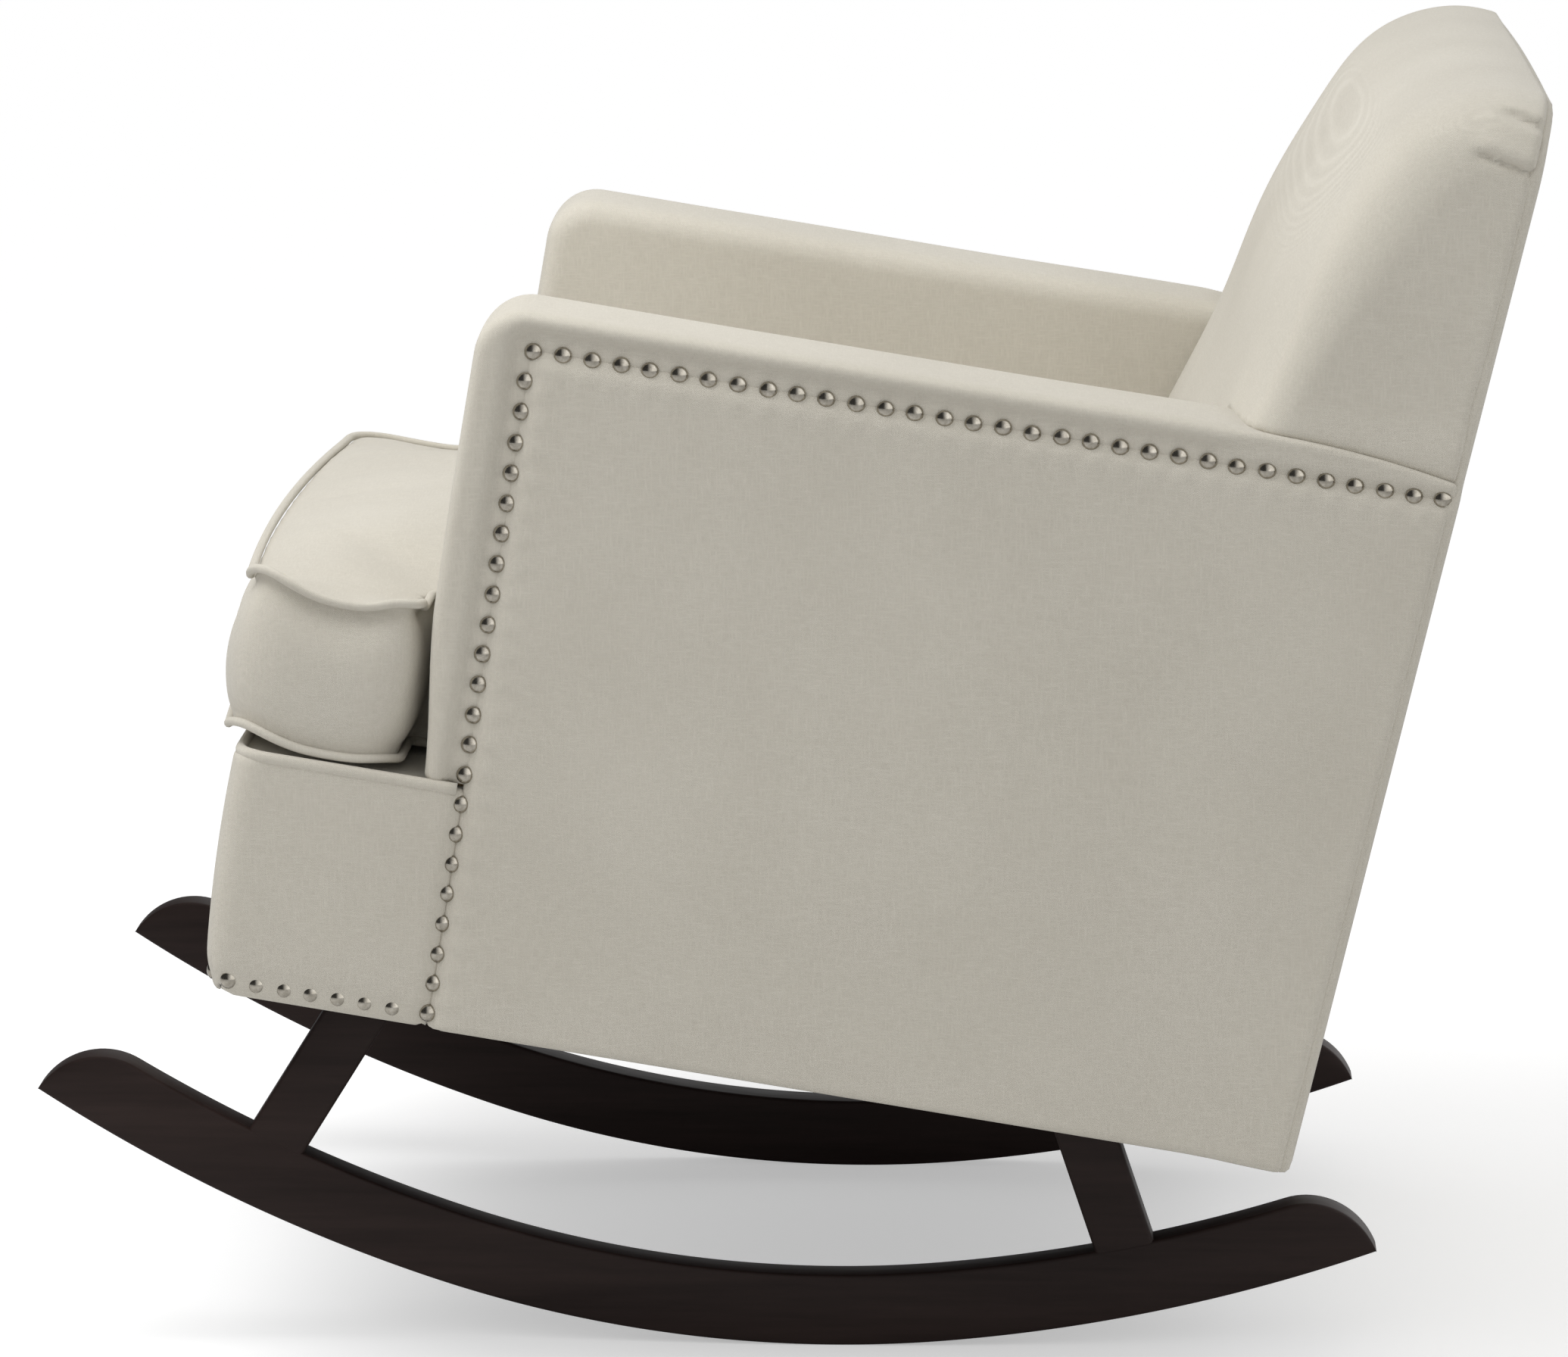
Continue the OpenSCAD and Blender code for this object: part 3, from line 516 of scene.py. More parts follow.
def arm_band(y, z, under):
    """How far out the arm's narrow outer band stands, with a fold beside the row of nails."""
    nail_dent, tuck, tuck_reach = 1.3, 0.35, 12
    lip_dent, lip_width = 2.8, 4.5
    fold_depth, fold_at, fold_width = 4.6, 8.5, 5.2
    bulge, bulge_from, bulge_run = 1.2, 11, 8
    beyond = np.hypot(np.maximum(PANEL_FRONT - y, 0), np.maximum(z - PANEL_TOP, 0))
    within = np.minimum(y - PANEL_FRONT, PANEL_TOP - z)
    fold = fold_depth * bell(beyond - fold_at, fold_width) * (1 - under)
    out = BAND_X + bulge * ease((beyond - bulge_from) / bulge_run) - lip_dent * bell(beyond, lip_width) - fold
    return out - nail_dent * dimples(y, z, SIDE_NAILS, DIMPLE_R) - tuck * np.clip(within, 0, tuck_reach)


def arm_shape(p):
    """The near arm's cover: inside, top, front and outer band. It tucks in under the back's wing."""
    x, y, z = p[..., 0], p[..., 1], p[..., 2]
    under = ease((y - WING_FRONT) / WING_SEAT)
    crown = ARM_TOP + ARM_CROWN - ARM_FALL * ((x - ARM_MID) / ARM_HALF) ** 2 + 0.5 * drift(y, x, 60, 1.0)
    top = z - blend(crown, wing_sole(y) + 1.2, under)
    foot = RECESS * ease((RECESS_TOP - z) / RECESS_RUN)
    front = ARM_FRONT + 1 - BELLY * bell(z - BELLY_Z, 110) + foot - y
    inner = INNER_X - BELLY * bell(z - BELLY_Z, 90) * ease((y + 20) / 60) - x
    shape = round_max(front, top, ARM_ROUND)
    shape = round_max(shape, x - arm_band(y, z, under), blend(ARM_BAND_ROUND, HIDDEN_ROUND, under))
    shape = round_max(shape, inner, blend(ARM_INNER_ROUND, HIDDEN_ROUND, under))
    shape = round_max(shape, RAIL_TOP + 0.5 - z, 3)
    return round_max(shape, y - rear(z) + 5, 4)


arm_low = (INNER_X - 8, ARM_FRONT - 8, RAIL_TOP - 6)
arm_high = (HALF_W + 3, rear(ARM_TOP) + 3, ARM_TOP + 8)
arm_mesh = surface(arm_shape, arm_low, arm_high, ARM_STEP)
for arm in (piece("arm_cover_near", *arm_mesh, LINEN, "arm_cover_right"),
            piece("arm_cover_far", *mirrored(*arm_mesh), LINEN, "arm_cover_left")):
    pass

# ---------------- outside panels

PANEL_STEP, PANEL_ROUND, PANEL_THICK = 2.6, 3.0, 9.5
NAIL_PITCH = 18.7
HEM, DROOP, DROOP_FROM, DROOP_RUN = 2.8, 2.5, 480, 70


def underside(y):
    """Height of the covers' bottom edge, which droops a little at the rear."""
    return PANEL_BOTTOM - HEM - DROOP * ease((y - DROOP_FROM) / DROOP_RUN)


def panel_shape(p):
    """The near outside panel, drawn in along its nailed edges and puckered between the nails."""
    valley, valley_width, nail_dent, waver = 4.2, 6.5, 1.7, 0.4
    pucker_depth, pucker_at, pucker_width = 0.35, 12, 8
    x, y, z = p[..., 0], p[..., 1], p[..., 2]
    front, top = y - PANEL_FRONT, PANEL_TOP - z
    edge = np.minimum(front, top)
    pull = dimples(y, z, SIDE_NAILS, PANEL_DIMPLE_R)
    along = 2 * math.pi * np.where(front < top, z, y) / NAIL_PITCH
    pucker = bell(edge - pucker_at, pucker_width) * np.cos(along)
    out = HALF_W + 0.3 - valley * bell(np.maximum(edge, 0), valley_width) - nail_dent * pull
    out = out + waver * drift(y, z, 75, 0.4) + pucker_depth * pucker
    shape = round_max(np.maximum(-front, -top), x - out, PANEL_ROUND)
    low = round_max(underside(y) - z, y - rear(z) + 7, 3)
    shape = round_max(shape, low, 4)
    return np.maximum(shape, HALF_W - PANEL_THICK - x)


panel_high = (HALF_W + 4, rear(PANEL_TOP) + 4, PANEL_TOP + 6)
panel_mesh = surface(panel_shape, (HALF_W - 14, -6, -8), panel_high, PANEL_STEP, 3)
for panel in (piece("outside_panel_near", *panel_mesh, LINEN, "outside_arm_right"),
              piece("outside_panel_far", *mirrored(*panel_mesh), LINEN, "outside_arm_left")):
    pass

# ---------------- front

FRONT_ROUND, FRONT_STEP = 20.0, 3.2
SWELL, SWELL_MID = 4.8, 95
SKIN, SKIN_TOP = 11, 10
LIP_RADII = (3.4, 4.0)


def front_shape(p):
    """The front border, round both ears and hollow behind, tucked under the panels."""
    hem_tuck, hem_reach, front_dent, side_dent = 4.5, 13, 1.0, 1.2
    seam_dent, seam_width = 3.0, 5.5
    x, y, z = np.abs(p[..., 0]), p[..., 1], p[..., 2]
    swell = SWELL * (1 - ((z - SWELL_MID) / SWELL_MID) ** 2) - hem_tuck * bell(z - 1, hem_reach)
    front = FRONT_Y - swell + front_dent * dimples(p[..., 0], z, FRONT_NAILS, DIMPLE_R)
    front = front + 0.5 * drift(p[..., 0], z, 90, 2.2) - y
    bulge = 0.35 * swell - seam_dent * bell(PANEL_FRONT - y, seam_width)
    side = x - (HALF_W - 1.2 + bulge - side_dent * dimples(y, z, SIDE_NAILS, DIMPLE_R))
    shape = round_max(front, side, FRONT_ROUND)
    shape = round_max(shape, z - RAIL_TOP + 2.5, 4)
    shape = round_max(shape, underside(y) - z, 5)
    shape = round_max(shape, y - 2.5, 1)
    hollow = np.maximum(np.maximum(x - HALF_W + SKIN, FRONT_Y + SKIN - y), z - RAIL_TOP + SKIN_TOP)
    return np.maximum(shape, -hollow)


front_low = (-HALF_W - 4, FRONT_Y - 9, -6)
front_mesh = surface(front_shape, front_low, (HALF_W + 4, 5, RAIL_TOP + 5), FRONT_STEP, 3)
piece("front_border", *front_mesh, LINEN, "front_cover")


def tube(path, radii, sides=12, closed=False):
    """A tube along a path, radii across and up."""
    path = np.asarray(path, float)
    n = len(path)
    ahead = np.roll(path, -1, 0) - np.roll(path, 1, 0) if closed else np.gradient(path, axis=0)
    ahead /= np.linalg.norm(ahead, axis=1)[:, None]
    side = np.cross(ahead, [0.0, 0.0, 1.0])
    side /= np.linalg.norm(side, axis=1)[:, None]
    rise = np.cross(side, ahead)
    a = np.linspace(0, 2 * math.pi, sides, endpoint=False)[None, :, None]
    ring = path[:, None] + radii[0] * np.cos(a) * side[:, None] + radii[1] * np.sin(a) * rise[:, None]
    faces = [f[:1] + f[:0:-1] for f in ring_quads(n, sides, closed)]
    if not closed:
        faces.append(list(range(sides)))
        faces.append([(n - 1) * sides + k for k in range(sides)][::-1])
    return ring.reshape(-1, 3), faces


def lip_path():
    """The welt's line along the top of the front border, round both ears."""
    x, y, r = HALF_W - 2.5, FRONT_Y + 0.5, FRONT_ROUND - 1
    turn = np.linspace(0, math.pi / 2, 9)
    right = [[x - r + r * math.sin(a), y + r - r * math.cos(a)] for a in turn]
    left = [[-px, py] for px, py in right[::-1]]
    back = [[x, q] for q in np.arange(y + r + 8, -1.5, 8)]
    front = [[q, y] for q in np.linspace(-x + r, x - r, 90)[1:-1]]
    plan = np.array([[-px, py] for px, py in back[::-1]] + left + front + right + back)
    return np.column_stack([plan, np.full(len(plan), RAIL_TOP - 2.2)])


piece("lip", *tube(lip_path(), LIP_RADII), LINEN, "lip_welt")

# ---------------- back

FRONT_CURVE = [(330, 130), (339, 157), (369, 255), (398, 352), (422, 425), (434, 463), (444, 503),
               (454, 540), (469, 585), (487, 629), (499, 650), (514, 667), (534, 680), (556, 688),
               (577, 690), (601, 687), (640, 676)]
CURVE_SMOOTHING = 24
BACK_STEP, REAR_STEP = 3.6, 4.0
PLEATS = [((572, 676), (600, 669)), ((559, 649), (600, 641))]
PLEAT_DEPTH, PLEAT_WIDTH, PLEAT_PUFF = 4.8, 2.8, 2.2
CROWN_HEIGHT, CROWN_HALF = 2.5, 320
NARROW_TOP = 480
SWEEP, WING_SWEEP, SWEEP_HALF, PADDING = 7, 17, 345, 4.0
BACK_ROUND, BACK_TOP_ROUND, ROUND_FROM, ROUND_RUN = 19, 48, 490, 150
REAR_TOP, REAR_CUSHION = 684, 3.0
REAR_CORNER = 56

front_line = curve_through(FRONT_CURVE, 8)
for _ in range(CURVE_SMOOTHING):
    front_line[1:-1] = (front_line[:-2] + 2 * front_line[1:-1] + front_line[2:]) / 4
back_region = region(np.vstack([front_line, [(760, 600), (760, 130)]]))


def pleat(y, z):
    """How deep the pleats at the back's top corners cut in: sharp below, soft above."""
    cut = np.zeros(np.shape(y))
    for (ya, za), (yb, zb) in PLEATS:
        along = np.clip((y - ya) / (yb - ya), 0, 1)
        over = z - (za + (zb - za) * along)
        reach = ease((y - ya + 8) / 14)
        cut += reach * (PLEAT_DEPTH * bell(over, PLEAT_WIDTH) - PLEAT_PUFF * bell(over - 8, 6))
    return cut


def crown_lift(x, z):
    """How far the back's top edge rises towards the middle."""
    return CROWN_HEIGHT * (1 - np.clip(np.abs(x) / CROWN_HALF, 0, 1) ** 2) * ease((z - 600) / 70)


def back_shape(p):
    """The cushioned inside back: wide above the arms, narrow between them."""
    x, y = np.abs(p[..., 0]), p[..., 1]
    z = p[..., 2] - crown_lift(x, p[..., 2])
    out = np.clip(x / SWEEP_HALF, 0, 1.05)
    swept = SWEEP * out ** 3 + WING_SWEEP * bell(z - 520, 85) * out ** 9
    away = swept - PADDING * bell(z - 550, 60)
    front = back_region(y - away, z) + 0.35 * drift(p[..., 0], z, 120, 1.3)
    behind = y - rear(z) + 7
    wide_half = BACK_W - 2.5 + 2.5 * bell(z - 575, 100) + 3.5 * bell(z - 456, 20)
    side = x - wide_half + pleat(y, z)
    edge = blend(BACK_ROUND, BACK_TOP_ROUND, ease((z - ROUND_FROM) / ROUND_RUN))
    wide = round_max(front, side, edge)
    wide = round_max(wide, wing_sole(y) - p[..., 2], 3)
    narrow = round_max(front, x - INNER_X + 0.5, 8)
    narrow = np.maximum(np.maximum(narrow, z - NARROW_TOP), RAIL_TOP + 1 - z)
    return round_max(np.minimum(wide, narrow), behind, 4)


back_low, back_high = (-BACK_W - 6, 325, RAIL_TOP - 5), (BACK_W + 6, rear(700) + 2, 703)
back_mesh = surface(back_shape, back_low, back_high, BACK_STEP)
piece("back_cushioned", *back_mesh, LINEN, "inside_back")


def rear_shape(p):
    """The outside back panel, as wide as the arms below and as the back above them."""
    x, y = np.abs(p[..., 0]), p[..., 1]
    z = p[..., 2] - crown_lift(x, p[..., 2])
    width = HALF_W - 2.0 - (HALF_W - BACK_W) * ease((z - 430) / 14)
    outline = round_max(x - width, z - REAR_TOP, REAR_CORNER)
    edge = np.clip(-outline, 0, 60)
    face = y - rear(z) - REAR_CUSHION * (1 - bell(edge, 22)) + 2.0 - 0.5 * drift(p[..., 0], z, 110, 0.9)
    shape = round_max(outline, face, 4.5)
    shape = round_max(shape, underside(y) - z, 4)
    return np.maximum(shape, rear(z) - SKIN - y)


rear_low, rear_high = (-HALF_W - 4, REAR_Y - 18, -8), (HALF_W + 4, rear(690) + 8, 698)
rear_mesh = surface(rear_shape, rear_low, rear_high, REAR_STEP, 3)
piece("back_panel", *rear_mesh, LINEN, "outside_back")

# ---------------- nails

NAIL_R, NAIL_RISE, NAIL_SKIRT = 5.6, 3.2, 1.6
NAIL_TILT, NAIL_STRAY = 0.035, 0.25
SIDE_NAIL_BASE, FRONT_NAIL_BASE = HALF_W - 4.2, -FRONT_Y - 2.6
rng = np.random.default_rng(7)


def nail_head(radius, rise, rings=5, sides=18):
    """A domed head standing along +x, with a short skirt that sinks into the cloth."""
    ball = (radius ** 2 + rise ** 2) / (2 * rise)
    rim = math.asin(radius / ball)
    rows = [(radius - 0.1, -NAIL_SKIRT), (radius, -0.3)]
    for i in range(rings):
        a = rim * (1 - i / rings)
        rows.append((ball * math.sin(a), ball * math.cos(a) - ball + rise))
    turn = np.linspace(0, 2 * math.pi, sides, endpoint=False)
    points = [[h, r * math.cos(t), r * math.sin(t)] for r, h in rows for t in turn] + [[rise, 0, 0]]
    top = (len(rows) - 1) * sides
    cap = [[top + k, top + (k + 1) % sides, len(points) - 1] for k in range(sides)]
    return np.array(points), ring_quads(len(rows), sides) + cap


def nail_set(name, node, places, base, facing):
    """A row of nails, each a little tilted and a little off its place."""
    head, head_faces = nail_head(NAIL_R, NAIL_RISE)
    points, faces = [], []
    for a, b in places:
        tilt = rng.normal(0, NAIL_TILT, 2)
        q = head.copy()
        q[:, 0] += tilt[0] * q[:, 1] + tilt[1] * q[:, 2]
        q[:, 1:] += [a, b] + rng.normal(0, NAIL_STRAY, 2)
        q[:, 0] += base
        faces += [[i + len(head) * len(points) for i in f] for f in head_faces]
        points.append(q)
    points = np.vstack(points)
    if facing == "front":
        points = np.column_stack([points[:, 1], -points[:, 0], points[:, 2]])
    if facing == "left":
        points, faces = points * [-1, 1, 1], [f[::-1] for f in faces]
    piece(name, points, faces, PEWTER, node)


nail_set("nailheads_near", "nails_right", SIDE_NAILS, SIDE_NAIL_BASE, "right")
nail_set("nailheads_far", "nails_left", SIDE_NAILS, SIDE_NAIL_BASE, "left")
nail_set("nailheads_front", "nails_front", FRONT_NAILS, FRONT_NAIL_BASE, "front")

# ---------------- base

ROCK = math.radians(6.54)
RUNNER_R, TIP_R, MID_ANGLE, END_ANGLE = 816.0, 1094.0, math.radians(12), math.radians(26.68)
RUNNER_H, RUNNER_T, RUNNER_ROUND, RUNNER_END = 46.5, 28.0, 2.6, 0.8
RUNNER_LOW, RUNNER_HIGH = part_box("runner_right")
RUNNER_X = (RUNNER_LOW.x + RUNNER_HIGH.x) / 2 * MM
CONTACT_Y = frame["record"]["mounts"][0]["pos_m"][1] * MM
LEG_FOOT_Y, LEG_FOOT_Z, LEG_SPLAY, LEG_W, LEG_SHIFT = 272.5, 99.0, math.radians(25.3), 38.0, 2.5
LEG_LEVELS = (-RUNNER_H, -8, 0, 40, 90, 150)


def rounded_rect(half_u, low, high, r, steps=3):
    """A ring of points round a rectangle: u either side of 0, v from low to high."""
    right, left, top, bottom = half_u - r, -half_u + r, high - r, low + r
    ring = []
    for cu, cv, start in ((right, top, 0), (left, top, 90), (left, bottom, 180), (right, bottom, 270)):
        for a in np.linspace(start, start + 90, steps + 1):
            ring.append((cu + r * math.cos(math.radians(a)), cv + r * math.sin(math.radians(a))))
    return ring


def loft(rings):
    """A closed solid through rings of points."""
    rings = np.array(rings)
    n, sides = rings.shape[:2]
    ends = [list(range(sides))[::-1], [(n - 1) * sides + k for k in range(sides)]]
    return rings.reshape(-1, 3), ring_quads(n, sides) + ends


def base_to_row(y, z):
    """From the level base frame to the row frame, both in millimetres."""
    up = z - RUNNER_R
    row_y = CONTACT_Y + y * math.cos(ROCK) + up * math.sin(ROCK)
    return row_y, RUNNER_R - y * math.sin(ROCK) + up * math.cos(ROCK)


def runner_edge(a, inset):
    """A point on the runner's lower edge by its slope angle, or inset from it."""
    side, a = (1 if a >= 0 else -1), abs(a)
    if a <= MID_ANGLE:
        c, r = (0.0, RUNNER_R), RUNNER_R
    else:
        c = ((RUNNER_R - TIP_R) * math.sin(MID_ANGLE), RUNNER_R + (TIP_R - RUNNER_R) * math.cos(MID_ANGLE))
        r = TIP_R
    return side * (c[0] + (r - inset) * math.sin(a)), c[1] - (r - inset) * math.cos(a)


def runner_mesh(x):
    """A bow runner whose tips are rounded down to the lower edge."""
    tip = RUNNER_H / TIP_R
    start = END_ANGLE - tip
    body_angles = list(np.linspace(0, start, 70))
    angles = body_angles + [start + tip * s for s in np.sin(np.linspace(0, math.pi / 2, 22))[1:]]
    rings = []
    for a in [-a for a in angles[:0:-1]] + angles:
        t = max(0.0, (abs(a) - start) / tip)
        tall = max(RUNNER_H * math.sqrt(max(0.0, 1 - t * t)), RUNNER_END)
        corner = min(RUNNER_ROUND, tall * 0.45)
        outline = rounded_rect(RUNNER_T / 2, 0, tall, corner)
        rings.append([(x + u, *base_to_row(*runner_edge(a, v))) for u, v in outline])
    points, faces = loft(rings)
    return points / MM, faces


def leg_mesh(x, end):
    """A splayed leg from just inside the runner up into the body."""
    outline = rounded_rect(RUNNER_T / 2 - 0.3, -LEG_W / 2, LEG_W / 2, RUNNER_ROUND)
    rings = []
    for d in LEG_LEVELS:
        ring = []
        for u, v in outline:
            y = end * (LEG_FOOT_Y - math.sin(LEG_SPLAY) * d) + v * math.cos(LEG_SPLAY) - LEG_SHIFT
            z = LEG_FOOT_Z + math.cos(LEG_SPLAY) * d + v * math.sin(LEG_SPLAY) * end
            ring.append((x + u, *base_to_row(y, z)))
        rings.append(ring)
    points, faces = loft(rings)
    return points / MM, faces


for side_name, cad_side, sign in (("near", "right", 1), ("far", "left", -1)):
    runner = runner_mesh(sign * RUNNER_X)
    piece("runner_" + side_name, *runner, ESPRESSO, "runner_" + cad_side, in_row=True)
    for end_name, end in (("front", -1), ("rear", 1)):
        leg = leg_mesh(sign * RUNNER_X, end)
        leg_name = "leg_" + end_name + "_"
        piece(leg_name + side_name, *leg, ESPRESSO, leg_name + cad_side, in_row=True)

# ---------------- seat cushion

EAR_X, EAR_BACK, STEM_X, STEM_BACK, NOSE_Y = 349.0, -43.0, 256.5, 362.0, -150.0
NOSE_ROUND, ARMPIT_ROUND, TAIL_ROUND = 30, 7, 26
TOP_HEEL_ROUND, LOW_HEEL_ROUND = 8, 30
RING_STEP, PLAN_STEP = 8.0, 10.0
BACK_GAP, BOW = 6.0, 13
TOP_SEAM, LOW_SEAM, FLAT_TOP, FLAT_LOW, EAR_FALL = 257.5, 163.0, 280, 160, 17
TOP_LIFTS, LOW_LIFTS, FAR_LIFT, REAR_RISE = (13, 9), (10, 2), 0.1, 8
WALL_HEIGHTS = [0.04, 0.1, 0.2, 0.3, 0.4, 0.5, 0.6, 0.7, 0.8, 0.9, 0.96]
PIPING_R = 2.9


def rounded_outline(corners, step, count=None):
    """A closed outline through rounded corners, (x, y, radius) each, in even steps."""
    c = np.array(corners, float)
    path = []
    for i in range(len(c)):
        p, r = c[i, :2], c[i, 2]
        a, b = c[i - 1, :2] - p, c[(i + 1) % len(c), :2] - p
        a, b = a / np.linalg.norm(a), b / np.linalg.norm(b)
        half = math.acos(np.clip(a @ b, -1, 1)) / 2
        reach = r / math.tan(half)
        centre = p + (a + b) / np.linalg.norm(a + b) * r / math.sin(half)
        s, e = p + a * reach - centre, p + b * reach - centre
        t0 = math.atan2(s[1], s[0])
        sweep = (math.atan2(e[1], e[0]) - t0 + math.pi) % (2 * math.pi) - math.pi
        for t in np.linspace(0, 1, 13):
            path.append(centre + r * np.array([math.cos(t0 + sweep * t), math.sin(t0 + sweep * t)]))
    closed = np.array(path + path[:1])
    along = np.concatenate([[0], np.cumsum(np.linalg.norm(np.diff(closed, axis=0), axis=1))])
    count = count or int(round(along[-1] / step))
    s = np.arange(count) * along[-1] / count
    return np.column_stack([np.interp(s, along, closed[:, k]) for k in (0, 1)])


def cushion_outline(z, heel, count=None):
    """The T-shaped plan at a height: bowed across the nose, and reaching back to the inside back."""
    back = back_face(z) - BACK_GAP
    right = [(EAR_X, NOSE_Y, NOSE_ROUND), (EAR_X, EAR_BACK, heel),
             (STEM_X, EAR_BACK, ARMPIT_ROUND), (STEM_X, STEM_BACK, TAIL_ROUND)]
    left = [(-x, y, r) for x, y, r in right[::-1]]
    x, y = rounded_outline(left[-1:] + right + left[:-1], RING_STEP, count).T
    bow = BOW * (1 - (x / EAR_X) ** 2) * ease((-95 - y) / 50)
    stretch = ease((y - 60) / 240)
    y = y - bow + stretch * (back - STEM_BACK)
    along = np.clip((y - EAR_BACK) / (back - EAR_BACK), 0, 1)
    pinch = 3.0 * np.sin(along * math.pi) * (np.abs(x) > STEM_X - 40)
    return np.column_stack([x - np.sign(x) * pinch, y])


def corner_lift(x, y, nose_lift, heel_lift):
    """How far the seams rise at the ears' front and rear corners, the far front one much less."""
    nose = np.hypot(np.abs(x) - EAR_X + 12, y - NOSE_Y - 12)
    heel = np.hypot(np.abs(x) - EAR_X + 8, y - EAR_BACK + 8)
    return nose_lift * (bell(nose, 25) * np.where(x > 0, 1.0, FAR_LIFT)) + heel_lift * bell(heel, 18)


def cushion_rings():
    """The top and bottom seams."""
    high = cushion_outline(268.0, TOP_HEEL_ROUND)
    low = cushion_outline(166.0, LOW_HEEL_ROUND, len(high))
    rise = REAR_RISE * ease((high[:, 1] + 35) / 60)
    top = np.column_stack([high, TOP_SEAM + corner_lift(*high.T, *TOP_LIFTS) + rise])
    bottom = np.column_stack([low, LOW_SEAM + corner_lift(*low.T, *LOW_LIFTS)])
    return top, bottom


def plan_mesh(outline, step):
    """Triangles over a plan outline: its own points, then a grid inside it."""
    inside = region(outline, 4.0, 30)
    xs = np.arange(-344, 345, step)
    ys = np.arange(-168, 372, step)
    grid = np.array([(x + (step / 2 if j % 2 else 0), y) for j, y in enumerate(ys) for x in xs])
    grid = grid[inside(grid[:, 0], grid[:, 1]) < -0.55 * step]
    verts = [Vector(p) for p in np.vstack([outline, grid])]
    n = len(outline)
    out = delaunay_2d_cdt(verts, [(i, (i + 1) % n) for i in range(n)], [list(range(n))], 1, 1e-4)
    points = np.array([tuple(v) for v in out[0]])
    return points, [list(f) for f in out[2]], inside


def cushion_mesh():
    """The cover before it is blown up: points, faces, and the points of the seams and of the grooves."""
    top_ring, low_ring = cushion_rings()
    n = len(top_ring)
    plan, tris, inside = plan_mesh(top_ring[:, :2], PLAN_STEP)
    depth = np.maximum(-inside(plan[:, 0], plan[:, 1]), 0)
    near = np.argmin(((plan[:, None, :] - top_ring[None, :, :2]) ** 2).sum(2), 1)
    crown = 1 - np.exp(-depth / 45)
    peak = FLAT_TOP - EAR_FALL * ease((np.abs(plan[:, 0]) - 170) / 150)
    top = np.column_stack([plan, top_ring[near, 2] * (1 - crown) + peak * crown])
    top[:n] = top_ring
    shift = (low_ring[near, :2] - top_ring[near, :2]) * np.exp(-depth / 120)[:, None]
    low = np.column_stack([plan + shift, low_ring[near, 2] * (1 - crown) + FLAT_LOW * crown])
    low[:n] = low_ring
    walls = []
    for t in WALL_HEIGHTS:
        ring = low_ring * (1 - t) + top_ring * t
        bulge = 6.5 * math.sin(math.pi * t) - 6 * bell(t - 0.96, 0.05) - 3.5 * bell(t - 0.04, 0.05)
        walls.append(ring + outward(ring) * bulge)
    m = len(top)
    points = np.vstack([top, low] + walls)
    faces = tris + [[i + m for i in f[::-1]] for f in tris]
    seam = np.arange(n)
    rings = [seam + m] + [seam + 2 * m + i * n for i in range(len(walls))] + [seam]
    for a, b in zip(rings[:-1], rings[1:]):
        for k in range(n):
            j = (k + 1) % n
            faces.append([int(a[k]), int(a[j]), int(b[j]), int(b[k])])
    return points, faces, seam, seam + m, np.concatenate([rings[1], rings[-2]])


def relax(points, faces, pinned, rounds):
    """Evens out the wrinkles between the seams."""
    links = {(a, b) for f in faces for a, b in zip(f, f[1:] + f[:1])}
    links = np.array([(a, b) for a, b in links] + [(b, a) for a, b in links])
    start, end = links.T
    degree = np.bincount(start, minlength=len(points))[:, None]
    free = np.ones((len(points), 1))
    free[pinned] = 0
    for _ in range(rounds):
        mean = np.stack([np.bincount(start, points[end, k], len(points)) for k in range(3)], 1) / degree
        points = points + 0.5 * free * (mean - points)
    return points


def set_points(made, points):
    """Moves a mesh's vertices."""
    made.data.vertices.foreach_set("co", points.ravel().astype(np.float32))
    made.data.update()


def inflate(made, pinned, pressure, cap, grow):
    """Blows the mesh up as cloth. The seams stay put, and no point moves more than cap."""
    frames, relax_rounds = 20, 3
    start = np.array([v.co for v in made.data.vertices])
    group = made.vertex_groups.new(name="seams")
    group.add([int(i) for i in pinned], 1.0, "REPLACE")
    cloth = made.modifiers.new("Cloth", "CLOTH")
    s = cloth.settings
    s.quality = 6
    s.mass = 0.25
    s.tension_stiffness = 18
    s.compression_stiffness = 18
    s.shear_stiffness = 8
    s.bending_stiffness = 0.6
    s.air_damping = 2
    s.use_pressure = True
    s.uniform_pressure_force = pressure
    s.shrink_min = -grow
    s.effector_weights.gravity = 0
    s.vertex_group_mass = "seams"
    cloth.collision_settings.use_collision = False
    for i in range(1, frames + 1):
        bpy.context.scene.frame_set(i)
    graph = bpy.context.evaluated_depsgraph_get()
    end = np.array([v.co for v in made.evaluated_get(graph).data.vertices])
    made.modifiers.remove(cloth)
    made.vertex_groups.clear()
    bpy.context.scene.frame_set(1)
    move = end - start
    size = np.linalg.norm(move, axis=1)
    move *= (cap * np.tanh(size / cap) / np.maximum(size, 1e-9))[:, None]
    faces = [list(f.vertices) for f in made.data.polygons]
    set_points(made, relax(start + move, faces, pinned, relax_rounds))


def soft_stop(over, give):
    """How far a point goes past a surface that gives a little, when it would go over past it."""
    return give * np.tanh(over / give)


